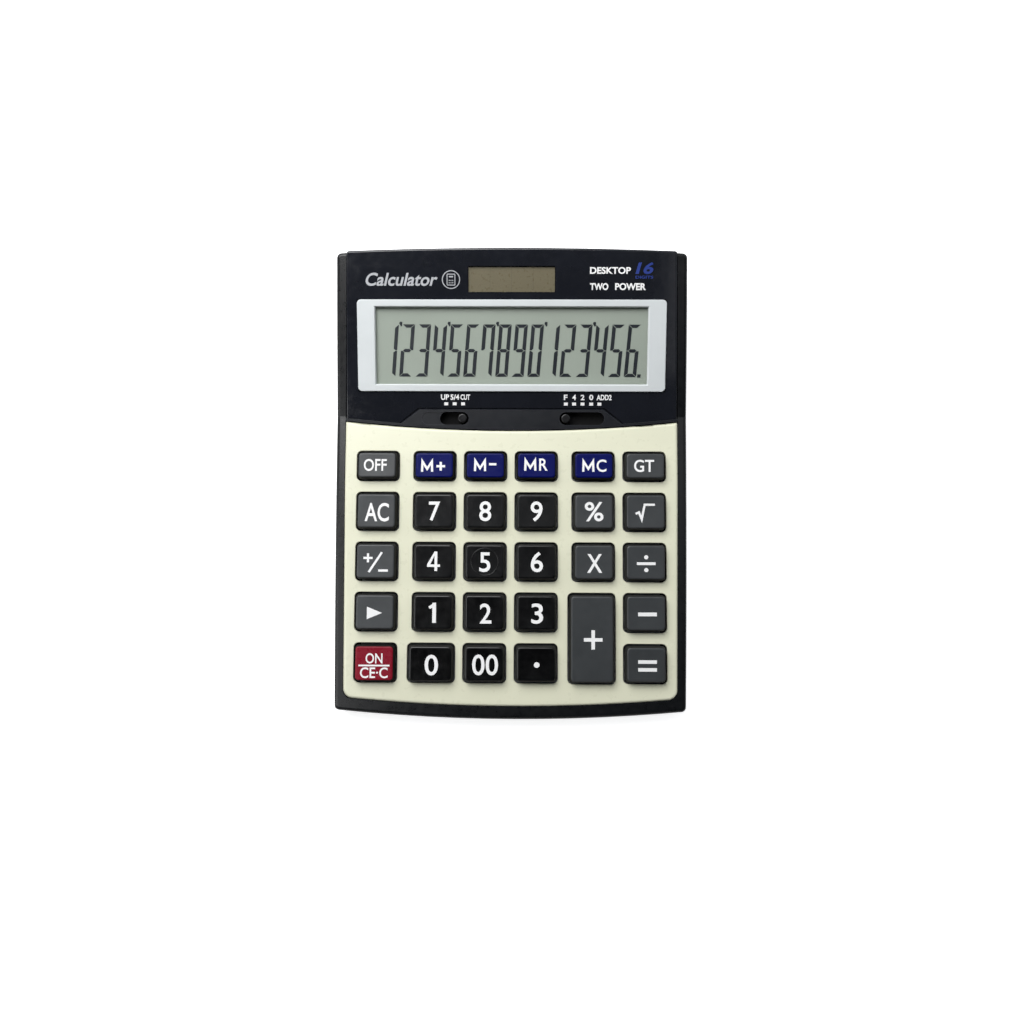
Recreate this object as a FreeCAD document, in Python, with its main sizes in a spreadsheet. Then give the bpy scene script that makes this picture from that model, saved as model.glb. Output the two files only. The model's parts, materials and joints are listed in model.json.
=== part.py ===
import FreeCAD, Part
import math
import os
import re
import Sketcher
from FreeCAD import Placement, Rotation, Vector

# Desk calculator.  X to the right, Y towards the back, Z up; the origin is at the middle of the
# footprint, on the surface that the rubber feet stand on.  Three sloping frames hang on one line,
# the junction between the keyboard and the display:
#   key frame      plane of the key plate
#   display frame  plane of the display panel
#   trim frame     plane of the switch trim that bridges the two
# In each of them X is to the right, Y up the slope and Z out of the face.

doc = FreeCAD.newDocument("desk_calculator")
sheet = doc.addObject("Spreadsheet::Sheet", "dims")

DIMS = {
    # casing
    "junction_y": 29.65, "junction_z": 18.4, "key_slope": 3.0, "display_slope": 14.5,
    "trim_slope": 7.45, "trim_lift": 0.47,
    "parting": 9.0, "underside": 1.0, "floor_top": 3.0, "wall": 2.2,
    "draft": 4.0, "draft_lower": 5.0, "shadow_gap": 0.25,
    "front_half": 75.9, "back_half": 77.5, "front_corner": -97.9, "back_corner": 99.8,
    "front_radius": 790.0, "back_radius": 1460.0, "side_radius": 8100.0, "corner_radius": 2.2,
    "rail_drop": 0.5, "rail_round": 1.5, "sheet_thickness": 1.8, "deck_thickness": 1.6,
    "base_round": 1.6,
    # key plate
    "plate_front_half": 72.1, "plate_back_half": 73.0, "plate_front": -122.5,
    "plate_back": -2.2, "plate_front_radius": 767.0, "plate_back_radius": 690.0,
    "plate_corner": 4.3, "plate_round": 1.3, "hole_round": 0.35, "recess_gap": 0.1,
    # keys
    "hole_width": 18.9, "hole_length": 17.1, "hole_short": 13.3, "hole_corner": 2.2,
    "plus_length": 39.17, "plus_width": 20.75, "zero_width": 20.77,
    "key_gap": 0.75, "key_height": 3.7, "key_draft": 9.0, "key_round": 0.7,
    "key_travel": 1.5, "flange_width": 0.6, "flange_thickness": 0.8, "flange_gap": 0.2,
    "key_roof": 1.4, "key_wall": 1.3, "cavity_draft": 6.0, "stem_radius": 2.2,
    "ring_radius": 5.6, "ring_width": 0.3, "ring_depth": 0.12,
    # display
    "panel_half": 72.6, "panel_back_half": 71.3, "panel_edge": -0.6, "panel_dip": -2.9,
    "panel_dip_x": 49.4, "panel_step": 3.8, "panel_step_x": 40.9, "panel_back": 71.05,
    "panel_back_radius": 1815.0, "panel_round": 0.9,
    "bezel_width": 134.2, "bezel_length": 39.45, "bezel_mid": 30.7, "bezel_lift": 0.8,
    "bezel_corner": 1.8, "bezel_round": 0.35, "window_width": 118.2, "window_length": 32.9,
    "window_slope": 0.35, "glass_width": 122.0, "glass_length": 36.6, "glass_gap": 0.4,
    "window_top": -0.5, "window_thickness": 1.0, "glass_thickness": 2.2,
    "holder_thickness": 1.6, "face_gap": 0.12, "solar_width": 38.0, "solar_length": 11.2, "solar_mid": 59.1,
    "solar_sink": 0.2, "solar_window_thickness": 0.7, "solar_corner": 0.8,
    # switch trim
    "trim_half": 72.8, "trim_front": -1.95, "trim_edge": -0.9, "trim_dip": -3.1,
    "trim_dip_x": 48.9, "trim_top": 3.4, "trim_top_x": 40.5, "trim_chamfer": 0.45,
    "slot_low": -3.7, "slot_high": 2.0, "left_slot_start": -31.4, "left_slot_end": -18.7,
    "right_slot_start": 21.1, "right_slot_end": 40.8, "recess_start": -39.4, "recess_depth": 0.35,
    "knob_radius": 2.0, "knob_height": 0.5, "left_knob_x": -21.45, "right_knob_x": 23.85,
    "slider_thickness": 0.9, "slider_width": 7.0, "slider_gap": 0.2,
    # inside
    "mat_thickness": 0.8, "board_thickness": 1.2, "board_half": 65.5, "board_front": -117.0,
    "board_back": 10.0, "dome_base": 5.2, "dome_top": 3.4, "dome_gap": 0.05,
    "boss_radius": 1.8, "screw_radius": 1.1, "case_boss_radius": 2.5, "case_boss_bottom": 6.0,
    "well_radius": 3.1, "screw_head_radius": 2.6, "screw_head_height": 1.6,
    # battery
    "bay_y": 76.0, "cell_radius": 5.8, "cell_height": 5.4, "cell_bottom": 3.2,
    "channel_half": 14.0, "channel_front": 62.0, "cover_gap": 0.25, "cover_top": 2.6,
    "cover_back": 99.1, "channel_top": 2.8, "contact_thickness": 0.3,
    "lead_radius": 0.6,
    # feet
    "foot_x": 62.0, "foot_front": -84.0, "foot_back": 86.0, "foot_radius": 4.5, "foot_sink": 0.6,
}
for row, (alias, value) in enumerate(DIMS.items(), 1):
    sheet.set("A%d" % row, alias)
    sheet.set("B%d" % row, str(value))
    sheet.setAlias("B%d" % row, alias)
doc.recompute()

NODES = []


def bound(text):
    """Names of cells in text, written the way an expression reads them."""
    return re.sub(r"[a-z_]+", lambda m: "dims." + m.group() if m.group() in DIMS else m.group(),
                  str(text))


def size(text):
    """Value of an expression of cells."""
    value = sheet.evalExpression(bound(text))
    return float(getattr(value, "Value", value))


def at(x="0", y="0", z="0", turn="0", axis="0;0;1"):
    return "placement(vector(%s;%s;%s); rotation(vector(%s); %s))" % (x, y, z, axis, turn)


KEY_FRAME = at("0", "junction_y", "junction_z", "key_slope", "1;0;0")
DISPLAY_FRAME = at("0", "junction_y", "junction_z", "display_slope", "1;0;0")
TRIM_FRAME = at("0", "junction_y", "junction_z + trim_lift", "trim_slope", "1;0;0")


def bind(thing, **cells):
    for name, text in cells.items():
        thing.setExpression(name, bound(text))
    return thing


def node(thing, label, frame=None):
    """Makes thing the sub-part called label, standing in one of the frames."""
    thing.Label = label
    if frame:
        thing.setExpression("Placement", bound(frame))
    NODES.append(thing)
    return thing


# ---------------------------------------------------------------- sketches and solids

def outline(sketch, corners, arcs=None):
    """Closed outline through the corners, counter-clockwise.  arcs maps a side, counted from the
    first corner, to a radius and +1 where it bows outward or -1 where it bows inward."""
    arcs = arcs or {}
    points = [Vector(size(x), size(y), 0) for x, y in corners]
    first = sketch.GeometryCount
    count = len(points)
    for side, start in enumerate(points):
        end = points[(side + 1) % count]
        if side in arcs:
            radius, way = size(arcs[side][0]), arcs[side][1]
            chord = end - start
            rise = radius - math.sqrt(radius ** 2 - (chord.Length / 2) ** 2)
            outward = Vector(chord.y, -chord.x, 0).normalize()
            sketch.addGeometry(Part.Arc(start, (start + end) * 0.5 + outward * rise * way, end))
        else:
            sketch.addGeometry(Part.LineSegment(start, end))

    def tip(side, start):
        """Number of the end of a side that lies at its start or its end."""
        want = points[side % count] if start else points[(side + 1) % count]
        gap = (sketch.getPoint(first + side, 1) - want).Length
        return 1 if gap < 1e-4 else 2

    for side in range(count):
        after = (side + 1) % count
        sketch.addConstraint(Sketcher.Constraint("Coincident", first + side, tip(side, False),
                                                 first + after, tip(after, True)))
    for side, (x, y) in enumerate(corners):
        for kind, text, value in (("DistanceX", x, points[side].x), ("DistanceY", y, points[side].y)):
            index = sketch.addConstraint(Sketcher.Constraint(kind, -1, 1, first + side,
                                                             tip(side, True), value))
            sketch.setExpression("Constraints[%d]" % index, bound(text))
    for side, (radius, way) in arcs.items():
        index = sketch.addConstraint(Sketcher.Constraint("Radius", first + side, size(radius)))
        sketch.setExpression("Constraints[%d]" % index, bound(radius))


def box_corners(width, length, x="0", y="0"):
    return [("%s - (%s) / 2" % (x, width), "%s - (%s) / 2" % (y, length)),
            ("%s + (%s) / 2" % (x, width), "%s - (%s) / 2" % (y, length)),
            ("%s + (%s) / 2" % (x, width), "%s + (%s) / 2" % (y, length)),
            ("%s - (%s) / 2" % (x, width), "%s + (%s) / 2" % (y, length))]


def mirrored(half):
    """Outline from its right half, listed from the front to the back."""
    return half + [("-(%s)" % x, y) for x, y in reversed(half)]


def flat_sketch(name, corners, arcs=None, z="0"):
    sketch = doc.addObject("Sketcher::SketchObject", name)
    sketch.setExpression("Placement", bound(at("0", "0", z)))
    outline(sketch, corners, arcs)
    return sketch


def prism(name, corners, bottom, height, arcs=None, taper=0.0, down=False):
    """Upright solid on an outline in the XY plane; taper draws it in away from its start."""
    solid = doc.addObject("Part::Extrusion", name)
    solid.Base = flat_sketch(name + "_outline", corners, arcs, bottom)
    solid.DirMode = "Normal"
    solid.Solid = True
    solid.Reversed = down
    if taper:
        solid.setExpression("TaperAngle", bound("-(%s)" % taper))
    return bind(solid, LengthFwd=height)


def band(name, corners, half="90"):
    """Solid of a side profile, drawn as Y and Z, reaching half to either side in X."""
    sketch = doc.addObject("Sketcher::SketchObject", name + "_profile")
    sketch.Placement = Placement(Vector(0, 0, 0), Rotation(Vector(1, 1, 1), 120))
    outline(sketch, corners)
    solid = doc.addObject("Part::Extrusion", name)
    solid.Base = sketch
    solid.DirMode = "Normal"
    solid.Solid = True
    return bind(solid, LengthFwd=half, LengthRev=half)


def block(name, width, length, height, x="0", y="0", z="0", frame=None):
    """Box centred on x and y, standing on z."""
    solid = bind(doc.addObject("Part::Box", name), Length=width, Width=length, Height=height)
    place = at("%s - (%s) / 2" % (x, width), "%s - (%s) / 2" % (y, length), z)
    solid.setExpression("Placement", bound(frame + " * " + place if frame else place))
    return solid


def rod(name, radius, height, x="0", y="0", z="0", frame=None):
    solid = bind(doc.addObject("Part::Cylinder", name), Radius=radius, Height=height)
    place = at(x, y, z)
    solid.setExpression("Placement", bound(frame + " * " + place if frame else place))
    return solid


def cone(name, low, high, height, x, y, z, frame=None):
    solid = bind(doc.addObject("Part::Cone", name), Radius1=low, Radius2=high, Height=height)
    place = at(x, y, z)
    solid.setExpression("Placement", bound(frame + " * " + place if frame else place))
    return solid


def cut(name, base, tool):
    solid = doc.addObject("Part::Cut", name)
    solid.Base, solid.Tool = base, tool
    return solid


def common(name, base, tool):
    solid = doc.addObject("Part::Common", name)
    solid.Base, solid.Tool = base, tool
    return solid


def fuse(name, shapes):
    if len(shapes) == 1:
        return shapes[0]
    solid = doc.addObject("Part::MultiFuse", name)
    solid.Shapes = shapes
    return solid


def rounded(name, base, radius_of, kind="Part::Fillet"):
    """Fillet or chamfer on each edge for which radius_of(edge) gives a size."""
    doc.recompute()
    edges = [(i, r, r) for i, r in ((i, radius_of(e)) for i, e in enumerate(base.Shape.Edges, 1)) if r]
    solid = doc.addObject(kind, name)
    solid.Base = base
    solid.Edges = edges
    return solid


def upright(edge):
    if len(edge.Vertexes) < 2:
        return False
    a, b = edge.Vertexes[0].Point, edge.Vertexes[-1].Point
    return abs(a.x - b.x) < 0.01 and abs(a.y - b.y) < 0.01 and abs(a.z - b.z) > 0.05


def level(edge, z):
    box = edge.BoundBox
    return abs(box.ZMin - z) < 0.01 and abs(box.ZMax - z) < 0.01


# ---------------------------------------------------------------- side profiles

TAN_KEY = "tan(key_slope * 1deg)"
TAN_DISPLAY = "tan(display_slope * 1deg)"


def slope_profile(depth, way):
    """Profile of all that lies above (+1) or below (-1) the two faces, at a depth under them."""
    drop_key = "(%s) / cos(key_slope * 1deg)" % depth
    drop_display = "(%s) / cos(display_slope * 1deg)" % depth
    meet = "((%s) - (%s)) / (%s - %s)" % (drop_display, drop_key, TAN_DISPLAY, TAN_KEY)
    front, back = "-140", "80"
    reach = "60" if way > 0 else "-40"
    line = [("junction_y + %s" % front, "junction_z + (%s) * %s - %s" % (front, TAN_KEY, drop_key)),
            ("junction_y + %s" % meet,
             "junction_z + (%s) * %s - %s" % (meet, TAN_KEY, drop_key)),
            ("junction_y + %s" % back,
             "junction_z + (%s) * %s - %s" % (back, TAN_DISPLAY, drop_display))]
    if way > 0:
        return line + [(line[2][0], reach), (line[0][0], reach)]
    return [(line[0][0], reach), (line[2][0], reach)] + line[::-1]


# ---------------------------------------------------------------- key layout

COLUMNS = ("-58.2", "-33.3", "-11.1", "11.1", "35.95", "58.2")
ROWS = ("-22.0", "-41.97", "-63.8", "-85.6", "-107.45")
KEYS = [
    ("key_off", 0, 0), ("key_m_plus", 1, 0), ("key_m_minus", 2, 0), ("key_mr", 3, 0),
    ("key_mc", 4, 0), ("key_gt", 5, 0),
    ("key_ac", 0, 1), ("key_7", 1, 1), ("key_8", 2, 1), ("key_9", 3, 1), ("key_percent", 4, 1),
    ("key_root", 5, 1),
    ("key_sign", 0, 2), ("key_4", 1, 2), ("key_5", 2, 2), ("key_6", 3, 2), ("key_multiply", 4, 2),
    ("key_divide", 5, 2),
    ("key_shift_right", 0, 3), ("key_1", 1, 3), ("key_2", 2, 3), ("key_3", 3, 3),
    ("key_minus", 5, 3),
    ("key_on", 0, 4), ("key_0", 1, 4), ("key_00", 2, 4), ("key_point", 3, 4), ("key_equals", 5, 4),
]
# label, centre x, centre y, hole width, hole length
LAYOUT = [(label, COLUMNS[column], ROWS[row], "hole_width",
           "hole_short" if row == 0 else "hole_length") for label, column, row in KEYS]
LAYOUT = [(label, "-34.12", y, "zero_width", length) if label == "key_0" else
          (label, x, y, width, length) for label, x, y, width, length in LAYOUT]
LAYOUT.append(("key_plus", "35.16", "-96.65", "plus_width", "plus_length"))

SMALL_BOSSES = [("-46.2", "-52.9"), ("23.4", "-52.9"), ("-46.5", "-96.5"), ("22.8", "-74.7"),
                ("-45", "-10.4"), ("45", "-10.4")]
CASE_BOSSES = [("70.5", "junction_y - 96.5"), ("-70.5", "junction_y - 96.5"),
               ("70.5", "junction_y - 31.0"), ("-70.5", "junction_y - 31.0"),
               ("68.5", "junction_y + 34"), ("-68.5", "junction_y + 34")]

# levels under the key plane
SHEET_UNDER = "-sheet_thickness"
DECK_UNDER = "-(sheet_thickness + deck_thickness)"
FLANGE_TOP = DECK_UNDER + " - flange_gap"
FLANGE_UNDER = FLANGE_TOP + " - flange_thickness"
MAT_TOP = FLANGE_UNDER + " - key_travel - 0.2"
BOARD_TOP = MAT_TOP + " - mat_thickness"
BOARD_UNDER = BOARD_TOP + " - board_thickness"


def key_holes(name, grow, bottom, height, frame=None, corner=True):
    """Through-holes for all the keys, rounded at their corners where the sheet shows them."""
    tools = []
    for label, x, y, width, length in LAYOUT:
        tool = block(name + "_" + label, "%s + %s" % (width, grow), "%s + %s" % (length, grow),
                     height, x, y, bottom, frame)
        if corner:
            tool = rounded(tool.Name + "_round", tool,
                           lambda e: size("hole_corner") if upright(e) else 0)
        tools.append(tool)
    return fuse(name, tools)


# ---------------------------------------------------------------- casing

def case_outline(inset):
    """Plan of the casing at the parting plane, drawn in by inset all round."""
    half = [("front_half - (%s)" % inset, "front_corner + (%s)" % inset),
            ("back_half - (%s)" % inset, "back_corner - (%s)" % inset)]
    return mirrored(half)


CASE_ARCS = {0: ("side_radius", 1), 1: ("back_radius", 1), 2: ("side_radius", 1),
             3: ("front_radius", 1)}


def case_block(name, inset, bottom, height, taper, down=False, corner="corner_radius"):
    solid = prism(name + "_sharp", case_outline(inset), bottom, height, CASE_ARCS, taper, down)

    def corner_edge(edge):
        a, b = edge.Vertexes[0].Point, edge.Vertexes[-1].Point
        tall = abs(a.z - b.z) > 1
        return size(corner) if tall else 0
    return rounded(name, solid, corner_edge)


def make_upper_case():
    body = case_block("upper_outside", "0", "parting", "34", "draft")
    body = common("upper_block", body, band("rail_line", slope_profile("rail_drop", -1)))

    def rail_edge(edge):
        box = edge.BoundBox
        if box.ZMax < size("parting") + 0.5 or (box.YLength < 0.01 and box.XLength > 60):
            return 0
        steep = box.XLength < 3 and box.YLength < 3 and \
            abs(edge.Vertexes[0].Z - edge.Vertexes[-1].Z) > 1
        at_split = max(abs(box.YMin - size("junction_y")), abs(box.YMax - size("junction_y"))) < 0.01
        return 0 if steep or at_split else size("rail_round")

    halves = [rounded("upper_half_%d_soft" % i,
                      common("upper_half_%d" % i, body,
                             block("half_zone_%d" % i, "200", "200", "80", "0", middle, "-10")),
                      rail_edge)
              for i, middle in enumerate(("junction_y - 100", "junction_y + 100"))]
    body = fuse("upper_soft", halves)
    recess_plan = mirrored([
        ("plate_front_half + recess_gap", "junction_y + plate_front - recess_gap"),
        ("plate_back_half + recess_gap", "junction_y - 28"),
        ("plate_back_half + recess_gap", "junction_y + plate_back"),
        ("panel_back_half + recess_gap", "junction_y + 68.4"),
        ("panel_back_half + recess_gap", "junction_y + 90")])
    recess = prism("recess_plan", recess_plan, "parting", "40", {9: ("plate_front_radius", 1)})

    def recess_corner(edge):
        return size("plate_corner") if upright(edge) and \
            edge.BoundBox.YMax < size("junction_y + plate_front + 2") else 0
    recess = rounded("recess_soft", recess, recess_corner)
    recess = common("recess", recess, band("above_deck", slope_profile("sheet_thickness", 1)))
    hollow = case_block("upper_inside", "wall", "parting", "34", "draft", corner="1")
    hollow = common("upper_hollow", hollow,
                    band("under_deck", slope_profile("sheet_thickness + deck_thickness", -1)))
    body = cut("upper_shell", body, fuse("upper_spaces", [recess, hollow]))

    bosses = [rod("board_boss_%d" % i, "boss_radius", "(%s) - (%s) + 0.2" % (DECK_UNDER, BOARD_TOP),
                  x, y, BOARD_TOP, KEY_FRAME) for i, (x, y) in enumerate(SMALL_BOSSES)]
    columns = [rod("case_boss_%d" % i, "case_boss_radius", "26", x, y, "case_boss_bottom")
               for i, (x, y) in enumerate(CASE_BOSSES)]
    columns = common("case_bosses", fuse("case_boss_set", columns),
                     band("boss_limit", slope_profile("sheet_thickness + 0.6", -1)))
    body = fuse("upper_with_bosses", [body, columns] + bosses)

    openings = [
        block("lcd_opening", "glass_width + 1.4", "glass_length + 1.4", "8", "0", "bezel_mid", "-6",
              DISPLAY_FRAME),
        block("solar_lead_opening", "20", "4", "8", "0", "solar_mid", "-6", DISPLAY_FRAME),
        block("left_slider_opening", "left_slot_end - left_slot_start + 1", "slot_high - slot_low",
              "8", "(left_slot_end + left_slot_start) / 2", "(slot_low + slot_high) / 2", "-6.5",
              TRIM_FRAME),
        block("right_slider_opening", "right_slot_end - right_slot_start + 1",
              "slot_high - slot_low", "8", "(right_slot_end + right_slot_start) / 2",
              "(slot_low + slot_high) / 2", "-6.5", TRIM_FRAME),
        key_holes("deck_holes", "0", DECK_UNDER + " - 1", "4", KEY_FRAME, corner=False)]
    drills = [rod("board_pilot_%d" % i, "screw_radius * 0.8", "3.2", x, y, BOARD_TOP + " - 0.1",
                  KEY_FRAME) for i, (x, y) in enumerate(SMALL_BOSSES)]
    drills += [rod("case_pilot_%d" % i, "screw_radius", "4.2", x, y, "case_boss_bottom - 0.1")
               for i, (x, y) in enumerate(CASE_BOSSES)]
    node(cut("upper_case", body, fuse("upper_openings", openings + drills)), "upper_case")


def make_lower_case():
    body = case_block("lower_outside", "shadow_gap", "parting", "parting - underside",
                      "draft_lower", down=True)
    body = rounded("lower_soft", body,
                   lambda e: size("base_round") if level(e, size("underside")) else 0)
    hollow = case_block("lower_inside", "wall", "parting", "parting - floor_top", "draft_lower",
                        down=True, corner="1")
    body = cut("lower_shell", body, hollow)
    bay = block("bay_block", "2 * channel_half + 4", "34", "2", "0", "80", "floor_top")
    cup = rod("bay_cup", "cell_radius + 2.2", "cell_bottom + cell_height + 1.4 - floor_top", "0",
              "bay_y", "floor_top")
    posts = [rod("post_%d" % i, "well_radius + 1.1", "case_boss_bottom - floor_top", x, y,
                 "floor_top") for i, (x, y) in enumerate(CASE_BOSSES)]
    limit = case_block("lower_limit", "wall - 0.1", "parting + 4", "parting + 4 - floor_top", "0.5",
                       down=True, corner="1")
    extras = common("lower_extras", fuse("lower_extra_set", [bay, cup] + posts), limit)
    body = fuse("lower_with_posts", [body, extras])
    tools = [
        block("cover_channel", "2 * channel_half", "60", "channel_top - underside + 1", "0",
              "channel_front + 30", "underside - 1"),
        rod("cell_pocket", "cell_radius + 0.3", "cell_bottom + cell_height - underside", "0",
            "bay_y", "underside"),
        block("positive_slot", "1.4", "3.4", "cell_height + 3", "-cell_radius - 0.3", "bay_y",
              "cell_bottom"),
        rod("negative_way", "2.7", "6", "0", "bay_y", "cell_bottom + cell_height"),
        block("rating_recess", "60", "34", "0.3", "0", "-10", "underside")]
    tools += [rod("foot_seat_%d" % i, "foot_radius + 0.15", "foot_sink", x, y, "underside")
              for i, (x, y) in enumerate(FEET)]
    tools += [rod("well_%d" % i, "well_radius", "2.6", x, y, "underside")
              for i, (x, y) in enumerate(CASE_BOSSES)]
    tools += [rod("screw_way_%d" % i, "screw_radius + 0.3", "8", x, y, "underside")
              for i, (x, y) in enumerate(CASE_BOSSES)]
    node(cut("lower_case", body, fuse("lower_spaces", tools)), "lower_case")


FEET = [("foot_x", "foot_front"), ("-foot_x", "foot_front"), ("foot_x", "foot_back"),
        ("-foot_x", "foot_back")]


# ---------------------------------------------------------------- faces

def make_key_plate():
    plan = mirrored([("plate_front_half", "plate_front"), ("plate_back_half", "-28"),
                     ("plate_back_half", "plate_back")])
    plate = prism("plate_plan", plan, SHEET_UNDER, "sheet_thickness",
                  {2: ("plate_back_radius", -1), 5: ("plate_front_radius", 1)})

    def corner(edge):
        if not upright(edge):
            return 0
        y = edge.Vertexes[0].Y
        return size("plate_corner") if y < -100 else (0.6 if y > -10 else 0)
    plate = rounded("plate_soft", plate, corner)
    plate = cut("plate_cut", plate, key_holes("plate_holes", "0", "-3", "5"))

    def rim(edge):
        if not level(edge, 0):
            return 0
        box = edge.BoundBox
        outer = box.YMin < size("plate_front") + 4.5 or box.YMax > -6.5 or \
            max(abs(box.XMin), abs(box.XMax)) > 70
        return size("plate_round") if outer else size("hole_round")
    node(rounded("key_plate", plate, rim), "key_plate", KEY_FRAME)


def make_display_panel():
    plan = mirrored([("panel_step_x", "panel_step"), ("panel_dip_x", "panel_dip"),
                     ("panel_half", "panel_edge"), ("panel_back_half", "panel_back")])
    panel = prism("panel_plan", plan, "-4", "4", {3: ("panel_back_radius", 1)})

    def soft(edge):
        box = edge.BoundBox
        if upright(edge) and box.YMin > 60:
            return 1.2
        return 0
    panel = rounded("panel_soft", panel, soft)

    def rim(edge):
        box = edge.BoundBox
        if not level(edge, 0):
            return 0
        if box.YMin > size("panel_back") - 1.5:
            return size("panel_round")
        if box.XLength < 2 and box.YLength > 40:
            return 0.5
        return 0
    panel = rounded("panel_rim", panel, rim)
    panel.setExpression("Placement", bound(DISPLAY_FRAME))
    panel = common("panel_sheet", panel, band("panel_zone", slope_profile("sheet_thickness", 1)))
    bezel_way = block("bezel_way", "bezel_width + 0.2", "bezel_length + 0.2", "9", "0", "bezel_mid",
                      "-5", DISPLAY_FRAME)
    solar_way = block("solar_way", "solar_width", "solar_length", "9", "0", "solar_mid", "-5")
    solar_way = rounded("solar_way_soft", solar_way,
                        lambda e: size("solar_corner") if upright(e) else 0)
    solar_way.setExpression("Placement", bound(DISPLAY_FRAME))
    node(cut("display_panel", panel, fuse("panel_ways", [bezel_way, solar_way])), "display_panel")


def make_display():
    bezel = block("bezel_block", "bezel_width", "bezel_length", "sheet_thickness + bezel_lift", "0",
                  "bezel_mid", SHEET_UNDER)
    bezel = rounded("bezel_soft", bezel, lambda e: size("bezel_corner") if upright(e) else 0)
    pocket = block("bezel_pocket", "glass_width + glass_gap", "glass_length + glass_gap",
                   "sheet_thickness + window_top + 1", "0", "bezel_mid", "-sheet_thickness - 1")
    opening = prism("bezel_opening", box_corners("window_width", "window_length", "0", "bezel_mid"),
                    "window_top - 0.2", "bezel_lift - window_top + 0.4")
    opening.setExpression("TaperAngle", bound("atan(window_slope / 1.3)"))
    bezel = cut("bezel_frame", bezel, fuse("bezel_spaces", [pocket, opening]))
    node(rounded("lcd_bezel", bezel, lambda e: size("bezel_round")
                 if level(e, size("bezel_lift")) else 0), "lcd_bezel", DISPLAY_FRAME)
    node(block("lcd_window", "glass_width", "glass_length", "window_thickness", "0", "bezel_mid",
               "window_top - window_thickness", DISPLAY_FRAME), "lcd_window")
    node(block("lcd_glass", "glass_width", "glass_length", "glass_thickness - face_gap", "0", "bezel_mid",
               "window_top - window_thickness - glass_thickness", DISPLAY_FRAME), "lcd_glass")
    holder_z = "window_top - window_thickness - glass_thickness - holder_thickness"
    holder = cut("holder_tray",
                 block("holder_block", "glass_width + 6", "glass_length - 3", "holder_thickness",
                       "0", "bezel_mid + 1.5", holder_z),
                 block("holder_window", "glass_width - 12", "glass_length - 14",
                       "holder_thickness + 2", "0", "bezel_mid + 1.5", holder_z + " - 1"))
    node(holder, "lcd_holder", DISPLAY_FRAME)
    solar_z = "-solar_sink - solar_window_thickness"
    solar = block("solar_window_block", "solar_width - 0.2", "solar_length - 0.2",
                  "solar_window_thickness", "0", "solar_mid", solar_z)
    node(rounded("solar_window", solar, lambda e: size("solar_corner") if upright(e) else 0),
         "solar_window", DISPLAY_FRAME)
    node(block("solar_cell", "solar_width - 0.6", "solar_length - 0.6",
               "sheet_thickness - solar_sink - solar_window_thickness - face_gap", "0", "solar_mid",
               SHEET_UNDER, DISPLAY_FRAME), "solar_cell")


def slot(name, start, end, low, high, bottom, height):
    """Slot with round ends, as a block and two rods."""
    radius = "((%s) - (%s)) / 2" % (high, low)
    mid = "((%s) + (%s)) / 2" % (high, low)
    return fuse(name, [
        block(name + "_run", "(%s) - (%s) - 2 * (%s)" % (end, start, radius), "(%s) - (%s)" % (high, low),
              height, "((%s) + (%s)) / 2" % (end, start), mid, bottom),
        rod(name + "_left", radius, height, "(%s) + %s" % (start, radius), mid, bottom),
        rod(name + "_right", radius, height, "(%s) - %s" % (end, radius), mid, bottom)])


def make_trim():
    plan = mirrored([("trim_half", "trim_front"), ("trim_half", "trim_edge"),
                     ("trim_dip_x", "trim_dip"), ("trim_top_x", "trim_top")])
    trim = prism("trim_plan", plan, "-5", "5", {7: ("plate_back_radius", 1)})

    def crest(edge):
        box = edge.BoundBox
        if not level(edge, 0):
            return 0
        return size("trim_chamfer") if box.YMax > 3 and box.XLength > 5 else 0
    trim = rounded("trim_soft", trim, crest, "Part::Chamfer")
    holes = fuse("trim_holes", [
        slot("left_slot", "left_slot_start", "left_slot_end", "slot_low", "slot_high", "-6", "8"),
        slot("right_slot", "right_slot_start", "right_slot_end", "slot_low", "slot_high", "-6",
             "8"),
        slot("left_recess", "recess_start", "left_slot_end - 1", "slot_low", "slot_high",
             "-recess_depth", "2")])
    trim = cut("trim_slotted", trim, holes)
    trim.setExpression("Placement", bound(TRIM_FRAME))
    node(common("switch_trim", trim, band("trim_zone", slope_profile("sheet_thickness", 1))),
         "switch_trim")


def make_switch(label, wiper, x, far_end):
    """Round knob on a slider that runs under the deck and closes the slot at both ends of its
    travel, with a bent contact below it.  far_end is the slot's end furthest from x."""
    plate_top = "-(sheet_thickness + deck_thickness + trim_lift + 0.9 + slider_gap)"
    knob = doc.addObject("PartDesign::Body", label)
    reach = "2 * (%s) * (%s - %s) + 0.5" % ("1" if size(far_end) > size(x) else "-1", far_end, x)
    disc = body_sketch(knob, "slider", plate_top + " - slider_thickness",
                       box_corners(reach, "slider_width", "0", "(slot_low + slot_high) / 2"))
    pad(knob, "slider_pad", disc, "slider_thickness")
    ring = body_sketch(knob, "knob", plate_top, None)
    circle(ring, "knob_radius", "0", "(slot_low + slot_high) / 2")
    top = pad(knob, "knob_pad", ring, "knob_height - (%s)" % plate_top)
    doc.recompute()
    edges = [i for i, e in enumerate(top.Shape.Edges, 1) if level(e, size("knob_height"))]
    soft = knob.newObject("PartDesign::Fillet", label + "_soft")
    soft.Base = (top, ["Edge%d" % i for i in edges])
    soft.Radius = 0.5
    node(knob, label, TRIM_FRAME + " * " + at(x))

    low = plate_top + " - slider_thickness"
    spring = fuse(wiper + "_metal", [
        block(wiper + "_strip", "7", "3", "contact_thickness", x, "(slot_low + slot_high) / 2",
              low + " - contact_thickness"),
        block(wiper + "_foot_a", "contact_thickness", "3", "0.8", x + " - 3.3",
              "(slot_low + slot_high) / 2", low + " - contact_thickness - 0.8"),
        block(wiper + "_foot_b", "contact_thickness", "3", "0.8", x + " + 3.3",
              "(slot_low + slot_high) / 2", low + " - contact_thickness - 0.8")])
    node(spring, wiper, TRIM_FRAME)


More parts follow.
